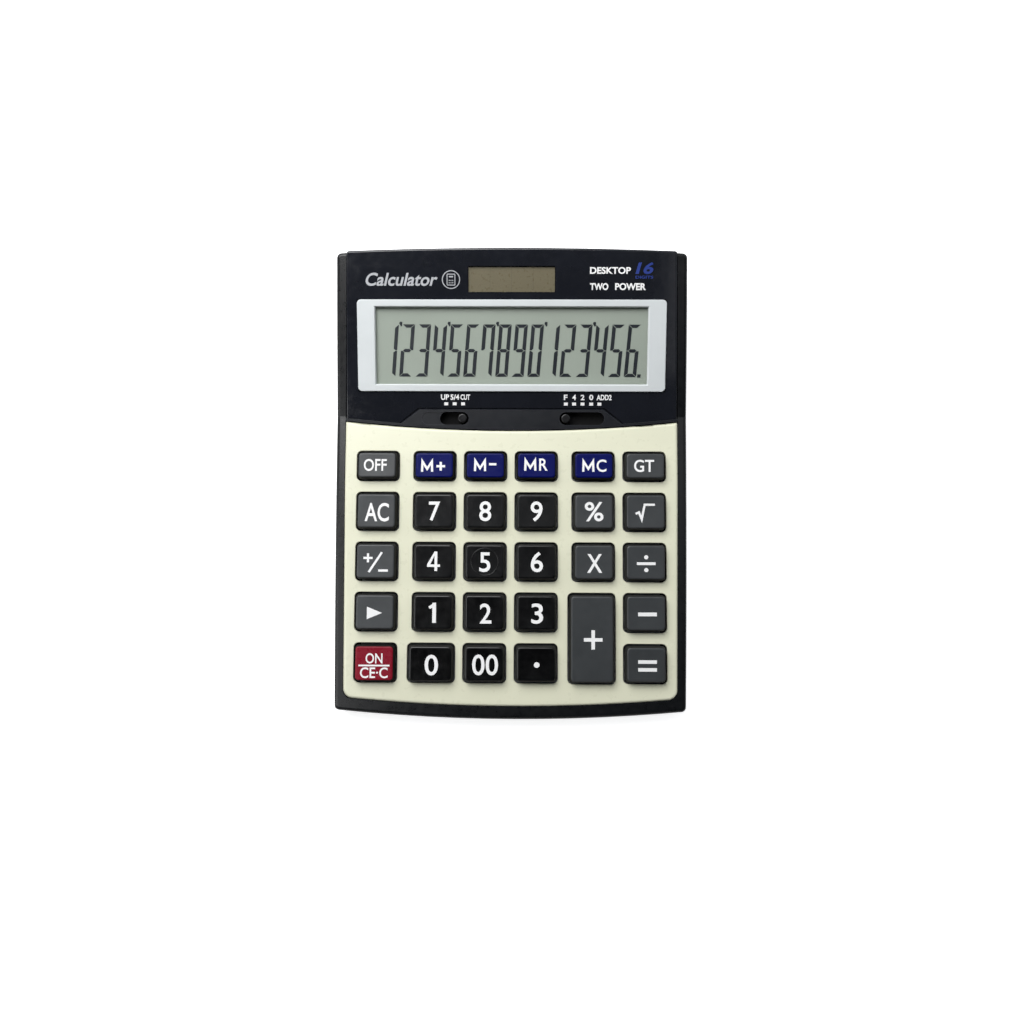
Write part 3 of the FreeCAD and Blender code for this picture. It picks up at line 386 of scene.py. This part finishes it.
def solid(name, bm, body, material):
    """Object of a finished bmesh, in the row frame, riding on a body."""
    mesh = bpy.data.meshes.new(name)
    bm.to_mesh(mesh)
    bm.free()
    mesh.materials.append(material)
    thing = bpy.data.objects.new(name, mesh)
    bpy.context.scene.collection.objects.link(thing)
    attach(thing, body)
    return thing


# ---------------------------------------------------------------- keycaps

KEY_RISE, KEY_SKIRT_DEPTH = 3.7, 1.2     # crown above the plate, skirt below it
SKIRT_EDGE = 0.05                        # height of the upright rim at the foot of the skirt
ROUND_STEPS = 8                          # rings round the rolled edge
DISH_SHARES = (0.96, 0.90, 0.80, 0.68, 0.55, 0.42, 0.28, 0.14)    # rings of the hollow top
KEY_DRAFT = math.radians(9)
KEY_ROUND, KEY_CORNER = 0.7, 1.45
KEY_SHOULDER = KEY_ROUND * (1 / math.cos(KEY_DRAFT) - math.tan(KEY_DRAFT))
DISH_DEPTH, DISH_HALF = 0.12, 6.6        # hollow of a key that is 2 * DISH_HALF across


def rounded_outline(half_width, half_length, radius, corner_steps=6, side_steps=8):
    """Points round a rectangle with round corners, counter-clockwise from its right side."""
    centres = [(x * (half_width - radius), y * (half_length - radius))
               for x, y in ((1, 1), (-1, 1), (-1, -1), (1, -1))]
    points = []
    for corner, (x, y) in enumerate(centres):
        arc = [(x + radius * math.cos(math.tau * (corner + i / corner_steps) / 4),
                y + radius * math.sin(math.tau * (corner + i / corner_steps) / 4))
               for i in range(corner_steps + 1)]
        turn = math.tau * (corner + 1) / 4
        after = centres[(corner + 1) % 4]
        start = arc[-1]
        end = (after[0] + radius * math.cos(turn), after[1] + radius * math.sin(turn))
        points += arc + [(start[0] + (end[0] - start[0]) * i / side_steps,
                          start[1] + (end[1] - start[1]) * i / side_steps)
                         for i in range(1, side_steps)]
    return points


def dish(half_width, half_length):
    """Level of the hollow top of a key, as a function of x and y from its middle."""
    depth = DISH_DEPTH * min(1.0, min(half_width, half_length) / DISH_HALF)

    def level(x, y):
        across = max(0.0, 1 - (x / half_width) ** 2)
        along = max(0.0, 1 - (y / half_length) ** 2)
        return -depth * across * along
    return level


def loft(bm, rings):
    """Joins rings of points with quads, closes the first and the last, and smooths the faces."""
    loops = [[bm.verts.new(p) for p in ring] for ring in rings]
    for low, high in zip(loops, loops[1:]):
        for i in range(len(low)):
            j = (i + 1) % len(low)
            bm.faces.new((low[i], low[j], high[j], high[i]))
    bm.faces.new(loops[0][::-1])
    bm.faces.new(loops[-1])
    for f in bm.faces:
        f.smooth = True


def make_keycap(key, material):
    """Moulded keycap with drafted sides, a rolled edge and a shallow hollow for the finger."""
    place, flat_width, flat_length = face(key)
    level = dish(flat_width, flat_length)
    width, length = flat_width + KEY_SHOULDER, flat_length + KEY_SHOULDER
    spread = KEY_RISE * math.tan(KEY_DRAFT)
    foot = -KEY_RISE - KEY_SKIRT_DEPTH
    profile = [(-spread, foot), (-spread, foot + SKIRT_EDGE), (-spread, -KEY_RISE),
               (-spread / 2, -KEY_RISE / 2)]
    for i in range(ROUND_STEPS):
        angle = KEY_DRAFT + (math.pi / 2 - KEY_DRAFT) * i / (ROUND_STEPS - 1)
        profile.append((KEY_SHOULDER - KEY_ROUND * math.cos(angle), KEY_ROUND * (math.sin(angle) - 1)))
    rings = [[(x, y, z) for x, y in rounded_outline(width - inset, length - inset,
                                                    KEY_CORNER - max(0.0, inset))]
             for inset, z in profile]
    for share in DISH_SHARES:
        ring = rounded_outline(flat_width * share, flat_length * share,
                               (KEY_CORNER - KEY_SHOULDER) * share)
        rings.append([(x, y, level(x, y)) for x, y in ring])
    bm = bmesh.new()
    loft(bm, rings)
    bmesh.ops.transform(bm, verts=bm.verts, matrix=place @ Matrix.Scale(MM, 4))
    cap = solid("cap_" + key[4:], bm, key, material)
    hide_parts(key)


RING_RADIUS, RING_BEAD = 5.85, 0.22      # raised ring round the middle of the 5 key


def make_home_ring(material):
    """Raised bead round the legend of the middle key, found by touch."""
    place, flat_width, flat_length = face("key_5")
    level = dish(flat_width, flat_length)
    bm = bmesh.new()
    turns, sides = 96, 8
    loops = []
    for i in range(turns):
        way = (math.cos(math.tau * i / turns), math.sin(math.tau * i / turns))
        base = level(way[0] * RING_RADIUS, way[1] * RING_RADIUS)
        loops.append([bm.verts.new((way[0] * (RING_RADIUS + RING_BEAD * math.cos(math.tau * j / sides)),
                                    way[1] * (RING_RADIUS + RING_BEAD * math.cos(math.tau * j / sides)),
                                    base + 0.8 * RING_BEAD * math.sin(math.tau * j / sides)))
                      for j in range(sides)])
    for i, loop in enumerate(loops):
        after = loops[(i + 1) % turns]
        for j in range(sides):
            k = (j + 1) % sides
            bm.faces.new((loop[j], after[j], after[k], loop[k])).smooth = True
    bmesh.ops.recalc_face_normals(bm, faces=bm.faces)
    bmesh.ops.transform(bm, verts=bm.verts, matrix=place @ Matrix.Scale(MM, 4))
    solid("home_ring", bm, "key_5", material)


# ---------------------------------------------------------------- key legends

# Words on the keys: what they say, their width and height in millimetres.
WORDS = {
    "key_off": ("OFF", 10.0, 5.3), "key_gt": ("GT", 8.7, 5.4),
    "key_ac": ("AC", 10.5, 8.1), "key_percent": ("%", 8.1, 8.4), "key_multiply": ("X", 6.5, 8.1),
    "key_0": ("0", 5.8, 8.8), "key_00": ("00", 11.1, 8.9), "key_2": ("2", 5.0, 8.6),
    "key_3": ("3", 5.1, 8.7), "key_5": ("5", 4.8, 8.5), "key_6": ("6", 5.3, 8.8),
    "key_7": ("7", 4.8, 8.4), "key_8": ("8", 5.2, 8.7), "key_9": ("9", 5.2, 8.7),
}
DIGIT_BOLD, LETTER_BOLD = 0.012, 0.014

# How far each legend stands from the middle of its key, right and up the slope.
SHIFTS = {
    "key_off": (-0.8, 0.0), "key_m_plus": (-0.5, -0.25), "key_m_minus": (-0.1, 0.1),
    "key_mr": (-0.1, 0.4), "key_mc": (0.2, 0.0), "key_gt": (-0.5, 0.0), "key_ac": (0.2, -0.6),
    "key_7": (0.3, -0.1), "key_8": (0.1, 0.0), "key_9": (0.1, 0.0), "key_percent": (0.1, 0.0),
    "key_root": (-0.15, 0.0), "key_sign": (0.0, -0.5), "key_4": (0.2, 0.1), "key_5": (0.1, -0.2),
    "key_6": (0.3, 0.0), "key_multiply": (0.3, -0.5), "key_divide": (0.2, -0.5),
    "key_shift_right": (-0.2, -0.4), "key_1": (0.2, -0.2), "key_2": (0.55, -0.4),
    "key_3": (0.5, -0.3), "key_minus": (0.6, -0.4), "key_0": (0.5, -0.6), "key_00": (0.5, -0.4),
    "key_point": (0.35, -0.3), "key_plus": (0.4, -0.3), "key_equals": (0.5, -0.4),
}


def draw_m(mark, x):
    """Letter M, 5.2 wide and 5.3 high, centred on x."""
    w, h = 2.2, 2.65
    mark.path([(x - w, -h), (x - w + 0.15, h - 0.8), (x, -h + 1.3), (x + w - 0.15, h - 0.8), (x + w, -h)],
              0.95)


def draw_m_plus(mark):
    draw_m(mark, -2.6)
    mark.bar(1.4, -0.2, 5.2, -0.2, 1.0)
    for y0, y1 in ((-2.1, -0.7), (0.3, 1.7)):
        mark.bar(3.3, y0, 3.3, y1, 1.0)


def draw_m_minus(mark):
    draw_m(mark, -2.2)
    mark.bar(1.7, 0.4, 4.9, 0.4, 1.0)


def draw_m_recall(mark):
    draw_m(mark, -2.6)
    mark.text("R", 3.7, 5.3, 3.1, 0.0, LETTER_BOLD)


def draw_m_clear(mark):
    draw_m(mark, -2.6)
    mark.text("C", 4.3, 5.4, 3.1, 0.0, LETTER_BOLD)


def draw_four(mark):
    mark.polygon([(-2.85, -1.35), (-1.45, -1.35), (0.35, 2.5), (0.35, 4.2)])
    mark.bar(-2.85, -1.9, 0.35, -1.9, 1.1)
    mark.bar(0.95, -4.2, 0.95, 4.2, 1.2)
    mark.bar(1.55, -1.9, 2.75, -1.9, 1.1)


def draw_one(mark):
    mark.path([(-1.7, 2.1), (0.55, 3.55)], 1.3)
    mark.bar(0.45, -4.3, 0.45, 4.3, 1.6)


def draw_plus(mark):
    mark.bar(-4.0, 0, 4.0, 0, 1.5)
    mark.bar(0, -4.1, 0, -0.75, 1.5)
    mark.bar(0, 0.75, 0, 4.1, 1.5)


def draw_minus(mark):
    mark.bar(-4.0, 0, 4.0, 0, 1.6)


def draw_equals(mark):
    for y in (-1.65, 1.65):
        mark.bar(-4.0, y, 4.0, y, 1.5)


def draw_divide(mark):
    mark.bar(-4.0, 0, 4.0, 0, 1.2)
    for y in (-2.75, 2.75):
        mark.disc(0, y, 0.9)


def draw_root(mark):
    mark.path([(-4.1, -0.9), (-2.7, -0.2), (-1.5, -3.2), (-0.2, 3.1), (4.2, 3.1)], 0.95)


def draw_sign(mark):
    mark.bar(-5.3, 1.9, -1.3, 1.9, 0.95)
    for y0, y1 in ((0.0, 1.425), (2.375, 3.9)):
        mark.bar(-3.3, y0, -3.3, y1, 0.95)
    mark.bar(-2.9, -4.2, 2.7, 4.4, 0.95)
    mark.bar(1.2, -3.5, 5.4, -3.5, 1.0)


def draw_arrow(mark):
    mark.polygon([(-3.2, -2.7), (3.3, 0), (-3.2, 2.7)])


def draw_on(mark):
    mark.text("ON", 7.3, 4.4, 0.0, 2.1, LETTER_BOLD)
    mark.bar(-6.7, -0.95, 6.7, -0.95, 0.7)
    mark.text("CE·C", 11.9, 4.6, 0.0, -4.0, LETTER_BOLD)


def draw_point(mark):
    mark.disc(0, 0, 1.2)


DRAWN = {"key_m_plus": draw_m_plus, "key_m_minus": draw_m_minus, "key_mr": draw_m_recall,
         "key_mc": draw_m_clear, "key_1": draw_one, "key_4": draw_four, "key_plus": draw_plus,
         "key_minus": draw_minus, "key_equals": draw_equals, "key_divide": draw_divide,
         "key_root": draw_root, "key_sign": draw_sign, "key_shift_right": draw_arrow,
         "key_on": draw_on, "key_point": draw_point}


def make_legends(white):
    """The print on each key, curved into the hollow of its top."""
    for key in [*WORDS, *DRAWN]:
        mark = Print()
        if key in WORDS:
            words, width, height = WORDS[key]
            mark.text(words, width, height, bold=DIGIT_BOLD if words[0].isdigit() else LETTER_BOLD)
        else:
            DRAWN[key](mark)
        mark.move(*SHIFTS.get(key, (0, 0)))
        place, half_width, half_length = face(key)
        mark.lay("legend_" + key[4:], place, key, white, height=dish(half_width, half_length))


# ---------------------------------------------------------------- liquid crystal display

DIGIT_WIDTH, DIGIT_HEIGHT = 5.4, 22.6
STROKE_UPRIGHT, STROKE_LEVEL, STROKE_GAP = 1.58, 1.45, 0.13
DIGIT_PITCH = 7.04
DIGIT_LEAN = math.radians(4.7)
DIGIT_FOOT = -13.3          # from the middle of the glass to the foot of the digits
SEGMENTS = {"0": "abcdef", "1": "bc", "2": "abged", "3": "abgcd", "4": "fgbc", "5": "afgcd",
            "6": "afgcde", "7": "fabc", "8": "abcdefg", "9": "abfgcd"}
SHOWN = "1234567890123456"
TICKED = (0, 3, 6, 9, 12)   # digits with a thousands tick at their top right


def segment_shapes():
    """Outlines of the seven strokes of one upright digit, from its lower left corner."""
    w, h, v, l, g = DIGIT_WIDTH, DIGIT_HEIGHT, STROKE_UPRIGHT, STROKE_LEVEL, STROKE_GAP
    top = [(g, h), (w - g, h), (w - v - g, h - l), (v + g, h - l)]
    right = [(w, h - g), (w, h / 2 + g), (w - v / 2, h / 2 + g), (w - v, h / 2 + l / 2 + g),
             (w - v, h - l - g)]
    middle = [(v / 2 + g, h / 2), (v + g, h / 2 + l / 2), (w - v - g, h / 2 + l / 2),
              (w - v / 2 - g, h / 2), (w - v - g, h / 2 - l / 2), (v + g, h / 2 - l / 2)]

    def turned(shape, over=False, down=False):
        return [(w - x if over else x, h - y if down else y) for x, y in shape]
    return {"a": top, "b": right, "c": turned(right, down=True), "d": turned(top, down=True),
            "e": turned(right, True, True), "f": turned(right, True), "g": middle}


def make_display(dark):
    """Sixteen leaning seven-stroke digits, their ticks and the decimal point."""
    place, _, _ = face("lcd_glass")
    shapes = segment_shapes()
    mark = Print()

    def leaning(points, x):
        return [(x + px + (py - DIGIT_HEIGHT / 2) * math.tan(DIGIT_LEAN), py + DIGIT_FOOT)
                for px, py in points]
    for i, digit in enumerate(SHOWN):
        left = (i - (len(SHOWN) - 1) / 2) * DIGIT_PITCH - DIGIT_WIDTH / 2
        for segment in SEGMENTS[digit]:
            mark.polygon(leaning(shapes[segment], left))
        if i in TICKED:
            x, y = DIGIT_WIDTH + 0.1, DIGIT_HEIGHT
            mark.polygon(leaning([(x, y + 0.3), (x + 0.9, y - 1.0), (x + 1.35, y - 0.6),
                                  (x + 1.3, y + 1.1), (x + 0.2, y + 1.1)], left))
    x = DIGIT_WIDTH + 0.45
    mark.polygon(leaning([(x, -0.2), (x + 1.5, -0.2), (x + 1.5, 1.2), (x, 1.2)], left))
    mark.lay("lcd_digits", place, "case", dark, lift=0.05)


# ---------------------------------------------------------------- panel print

def make_panel_print(white, silver, blue):
    """Words and signs beside the solar cell, and the labels of the two switches."""
    place, _, _ = face("display_panel")
    low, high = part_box("solar_cell")
    slope = place.inverted()
    cell = slope @ ((low + high) / 2) / MM
    glass = slope @ face("lcd_glass")[0].translation / MM

    name = Print()
    name.text("Calculator", 31.0, 5.6, -47.6, cell.y - 0.1, 0.02, lean=math.radians(14))
    x, y = -26.2, cell.y - 0.2
    name.ring(x, y, 3.75, 0.4)
    name.frame(x, y, 1.7, 2.3, 0.35)
    name.bar(x - 0.9, y + 1.25, x + 0.9, y + 1.25, 0.6)
    for row in (-1.35, -0.35):
        for column in (-0.75, 0.0, 0.75):
            name.bar(x + column - 0.2, y + row, x + column + 0.2, y + row, 0.45)
    name.lay("panel_name", place, "case", silver)

    facts = Print()
    facts.text("DESKTOP", 17.6, 2.9, 42.56, cell.y + 3.7, 0.03)
    facts.text("TWO", 7.9, 3.0, 37.8, cell.y - 3.1, 0.035)
    facts.text("POWER", 13.3, 3.0, 51.3, cell.y - 3.1, 0.035)
    facts.lay("panel_facts", place, "case", white)

    count = Print()
    count.text("16", 7.2, 5.0, 57.6, cell.y + 4.7, 0.03, lean=math.radians(16))
    count.text("DIGITS", 7.6, 1.2, 57.2, cell.y + 0.9, 0.02)
    count.lay("panel_count", place, "case", blue)

    label_y, dot_y = glass.y - 22.2, glass.y - 25.1
    switches = Print()
    for words, x, width in (("UP", -29.1, 3.6), ("5/4", -24.8, 3.9), ("CUT", -20.2, 4.2),
                            ("F", 23.8, 1.6), ("4", 27.5, 1.7), ("2", 31.2, 1.7), ("0", 35.0, 1.8),
                            ("ADD2", 40.6, 6.6)):
        switches.text(words, width, 2.4, x, label_y, 0.03)
    for x in (-28.6, -24.9, -21.2, 23.9, 27.5, 31.2, 35.0, 38.6):
        switches.bar(x - 0.85, dot_y, x + 0.85, dot_y, 1.3)
    switches.lay("switch_labels", place, "case", white)


# ---------------------------------------------------------------- underside

def downward(x, y, z):
    """Frame on the underside: right as seen from below, up towards the back, out is down."""
    place = Matrix(((-1, 0, 0), (0, 1, 0), (0, 0, -1))).to_4x4()
    place.translation = Vector((x, y, z))
    return place


def make_rating_label(paper, black):
    low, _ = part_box("lower_case")
    place = downward(0.0, -10 * MM, low.z + 0.3 * MM)
    sheet = Print()
    sheet.polygon([(-29, -16), (29, -16), (29, 16), (-29, 16)])
    sheet.lay("rating_label", place, "case", paper, thickness=0.08)
    words = Print()
    words.text("DESK CALCULATOR", 40, 3.6, 0, 11, 0.02)
    for line, y in enumerate((4.6, 0.8, -3.0)):
        words.text(("16 DIGITS - TWO WAY POWER", "SOLAR CELL AND BUTTON CELL", "DC 1.5 V  0.0002 W")[line],
                   (44, 45, 32)[line], 2.2, 0, y, 0.012)
    words.frame(0, 0, 27.6, 14.6, 0.25)
    words.bar(-27.4, 7.6, 27.4, 7.6, 0.2)
    for i in range(22):
        words.bar(-16 + 1.5 * i, -12.6, -16 + 1.5 * i, -7.2, 0.35 + 0.25 * (i * 7 % 3))
    words.lay("rating_words", downward(0.0, -10 * MM, low.z + 0.2 * MM), "case", black)


def make_cover_mark(material):
    low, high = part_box("battery_cover")
    place = downward(0.0, low.y + 9 * MM, low.z)
    mark = Print()
    mark.text("OPEN", 11, 3.0, 0, -3.2, 0.02)
    mark.polygon([(-3.2, 0.6), (3.2, 0.6), (0, 5.4)])
    mark.lay("cover_mark", place, "battery_cover", material, lift=-0.05, thickness=0.25)


# ---------------------------------------------------------------- finishes of the CAD nodes

KEY_OUT = face("key_5")[0].to_3x3().col[2]
# Painted shade for the keycap skirts: the near-black their steep sides fade to.
SKIRT_PAINTED_SHADE = srgb(4, 4, 5)


def keycap(name, colour, rough, mottle=0.05, specular=0.45):
    return plastic(name, colour, rough, mottle=mottle, grain=0.22, relief=0.003, specular=specular,
                   side=(KEY_OUT, SKIRT_PAINTED_SHADE))


# The lightened sharp edges given by the edge mask are partly edge wear and partly a painted highlight along
# rims and chamfers.
FINISHES = {
    "casing": plastic("casing", srgb(8, 10, 13), 0.30, mottle=0.05, grain=0.5, relief=0.002,
                      specular=0.4, wear_and_highlight=0.3, wear_and_highlight_colour=srgb(40, 43, 48)),
    "casing_base": plastic("casing_base", srgb(20, 22, 25), 0.48, mottle=0.10, grain=0.4, relief=0.012,
                           specular=0.4, wear_and_highlight=0.3, wear_and_highlight_colour=srgb(50, 52, 56)),
    "key_plate": plastic("key_plate", srgb(238, 238, 212), 0.30, mottle=0.012, grain=0.3, relief=0.002,
                         specular=0.5, wear_and_highlight=0.35, wear_and_highlight_colour=srgb(252, 252, 238)),
    "display_panel": plastic("display_panel", srgb(28, 30, 36), 0.10, mottle=0.10, grain=5.0,
                             relief=0.002, specular=0.5, wear_and_highlight=0.2, wear_and_highlight_colour=srgb(45, 45, 52)),
    "bezel": plastic("bezel", srgb(221, 226, 227), 0.36, mottle=0.02, grain=0.15, relief=0.002,
                     specular=0.5, wear_and_highlight=0.4, wear_and_highlight_colour=srgb(240, 243, 244)),
    "clear_window": clear("clear_window", (0.965, 0.975, 0.970)),
    "lcd": display_glass("lcd_film", srgb(174, 180, 170)),
    "white_plastic": plastic("white_plastic", srgb(222, 222, 218), 0.5),
    "ribbon": plastic("ribbon", srgb(190, 150, 70), 0.35, mottle=0.15, grain=1.0),
    "solar_cell": solar_film("solar_film", srgb(124, 114, 92), 4),
    "switch_trim": plastic("switch_trim", srgb(14, 17, 24), 0.36, mottle=0.08, specular=0.28, wear_and_highlight=0.4,
                           wear_and_highlight_colour=srgb(84, 87, 94)),
    # Knob: a painted highlight on its edges, and painted shade on the slider down in its slot.
    "knob": plastic("knob", srgb(14, 14, 16), 0.22, mottle=0.1, specular=0.5, wear_and_highlight=0.6,
                    wear_and_highlight_colour=srgb(84, 84, 90), slot_painted_shade=(0.0145, 0.0180)),
    "contact_metal": metal("contact_metal", srgb(214, 190, 130), 0.28),
    "keypad_rubber": rubber("keypad_rubber", srgb(150, 152, 155)),
    "circuit_board": board_laminate("circuit_board", srgb(30, 110, 66)),
    "blob": plastic("blob", srgb(14, 14, 14), 0.2, grain=3.0, relief=0.05),
    "components": plastic("components", srgb(150, 130, 100), 0.45, mottle=0.3),
    "cell_metal": metal("cell_metal", srgb(214, 214, 212), 0.22),
    "lead_red": plastic("lead_red", srgb(178, 24, 24), 0.35),
    "lead_black": plastic("lead_black", srgb(22, 22, 22), 0.35),
    "foot_rubber": rubber("foot_rubber", srgb(34, 34, 34)),
    "screw_metal": metal("screw_metal", srgb(196, 197, 200), 0.30),
    "keys_grey": keycap("keys_grey", srgb(57, 60, 62), 0.34),
    "keys_black": keycap("keys_black", srgb(3, 3, 4), 0.20, 0.10),
    "keys_blue": keycap("keys_blue", srgb(2, 12, 88), 0.24, specular=0.16),
    "key_red": keycap("key_red", srgb(134, 16, 38), 0.28, specular=0.2),
}


def finish_nodes():
    """Gives each CAD node the finish of its material slot, and each key its modelled cap."""
    for part in frame["record"]["subparts"]:
        thing = frame["nodes"][part["node"]]
        thing.data.materials.clear()
        thing.data.materials.append(FINISHES[part["material_slot"]])
        if part["node"].startswith("key_") and part["node"] != "key_plate":
            make_keycap(part["node"], FINISHES[part["material_slot"]])


# ---------------------------------------------------------------- studio

def make_floor():
    """White paper that lets the underside be seen from below."""
    graph = Graph("floor")
    tone = graph.mix(graph.noise(200.0, 2.0), (0.88, 0.88, 0.88), (0.92, 0.92, 0.92))
    paper = graph.add("BsdfDiffuse", {"Color": tone}).outputs["BSDF"]
    glow = graph.add("Emission", {"Color": (1, 1, 1, 1), "Strength": 0.85}).outputs["Emission"]
    both = graph.add("AddShader", {0: paper, 1: glow}).outputs["Shader"]
    below = graph.add("BsdfTransparent").outputs["BSDF"]
    sheet = graph.add("MixShader", {0: graph.add("NewGeometry").outputs["Backfacing"], 1: both,
                                    2: below}).outputs["Shader"]
    bm = bmesh.new()
    bmesh.ops.create_grid(bm, x_segments=8, y_segments=8, size=3.0)
    mesh = bpy.data.meshes.new("floor")
    bm.to_mesh(mesh)
    bm.free()
    mesh.materials.append(graph.finish(sheet))
    floor = bpy.data.objects.new("floor", mesh)
    bpy.context.scene.collection.objects.link(floor)


WINDOW_SIDE = (0, 1, 0)                  # the room is bright on this side, beyond the display


def make_sky():
    """Soft room light, bright on the window's side and dim on the other, before a pale wall."""
    world = bpy.data.worlds.new("room")
    bpy.context.scene.world = world
    world.use_nodes = True
    nodes, links = world.node_tree.nodes, world.node_tree.links
    nodes.clear()
    turned = nodes.new("ShaderNodeVectorMath")
    turned.operation = "DOT_PRODUCT"
    turned.inputs[1].default_value = WINDOW_SIDE
    links.new(nodes.new("ShaderNodeTexCoord").outputs["Generated"], turned.inputs[0])
    level = nodes.new("ShaderNodeMapRange")
    level.interpolation_type = "SMOOTHSTEP"
    links.new(turned.outputs["Value"], level.inputs["Value"])
    for key, value in (("From Min", -0.14), ("From Max", 0.08), ("To Min", 0.01), ("To Max", 0.50)):
        level.inputs[key].default_value = value
    back = nodes.new("ShaderNodeBackground")
    back.inputs["Color"].default_value = (0.93, 0.96, 1.0, 1)
    links.new(level.outputs["Result"], back.inputs["Strength"])
    plain = nodes.new("ShaderNodeBackground")
    plain.inputs["Color"].default_value = (0.90, 0.91, 0.92, 1)
    seen = nodes.new("ShaderNodeMixShader")
    links.new(nodes.new("ShaderNodeLightPath").outputs["Is Camera Ray"], seen.inputs[0])
    links.new(back.outputs["Background"], seen.inputs[1])
    links.new(plain.outputs["Background"], seen.inputs[2])
    output = nodes.new("ShaderNodeOutputWorld")
    links.new(seen.outputs["Shader"], output.inputs["Surface"])


def add_light(name, place, target, width, length, power, sheen_only=False):
    """Soft light; with sheen_only it is just a card mirrored in glossy faces."""
    data = bpy.data.lights.new(name, "AREA")
    data.shape, data.size, data.size_y, data.energy = "RECTANGLE", width, length, power
    lamp = bpy.data.objects.new(name, data)
    lamp.location = place
    lamp.rotation_mode = "QUATERNION"
    lamp.rotation_quaternion = (Vector(target) - Vector(place)).to_track_quat("-Z", "Y")
    lamp.visible_camera = False
    lamp.visible_diffuse = not sheen_only
    bpy.context.scene.collection.objects.link(lamp)


def make_camera():
    """Looks down on the keyboard from about 42 cm, a little in front of the middle."""
    data = bpy.data.cameras.new("camera")
    data.sensor_width, data.lens = 36.0, 33.022
    data.clip_start, data.clip_end = 0.01, 10.0
    camera = bpy.data.objects.new("camera", data)
    turn = (Matrix.Rotation(math.radians(-0.238), 3, "Z") @ Matrix.Rotation(math.radians(-0.766), 3, "Y")
            @ Matrix.Rotation(math.radians(-7.293), 3, "X"))
    camera.matrix_world = Matrix.Translation((0.0060, -0.0643, 0.42261)) @ turn.transposed().to_4x4()
    bpy.context.scene.collection.objects.link(camera)
    bpy.context.scene.camera = camera


# ---------------------------------------------------------------- assembly

finish_nodes()
make_home_ring(FINISHES["keys_black"])
white_ink = ink("white_ink", srgb(255, 255, 254))
make_legends(white_ink)
make_display(plastic("lcd_ink", srgb(32, 36, 44), 0.4, mottle=0.08, grain=0.2))
make_panel_print(white_ink, ink("silver_ink", srgb(186, 188, 192), 0.3), ink("blue_ink", srgb(34, 58, 140)))
make_rating_label(ink("label_paper", srgb(196, 198, 200), 0.4), ink("label_ink", srgb(24, 24, 26)))
make_cover_mark(FINISHES["casing_base"])
make_floor()
make_sky()
add_light("key_light", (-0.16, 0.26, 0.46), (0, -0.03, 0), 0.40, 0.40, 3.1)
add_light("left_card", (-0.23, -0.13, 0.32), (-0.23, -0.13, 0), 0.18, 0.18, 0.34, sheen_only=True)
add_light("low_card", (-0.36, -0.10, 0.22), (-0.03, -0.04, 0), 0.24, 0.24, 0.26, sheen_only=True)
add_light("front_card", (0, -0.40, 0.20), (0, -0.08, 0.01), 0.50, 0.10, 0.12, sheen_only=True)
add_light("right_card", (0.135, 0.035, 0.32), (0.135, 0.035, 0), 0.05, 0.12, 0.008, sheen_only=True)
make_camera()
bpy.context.scene.view_settings.view_transform = "Standard"
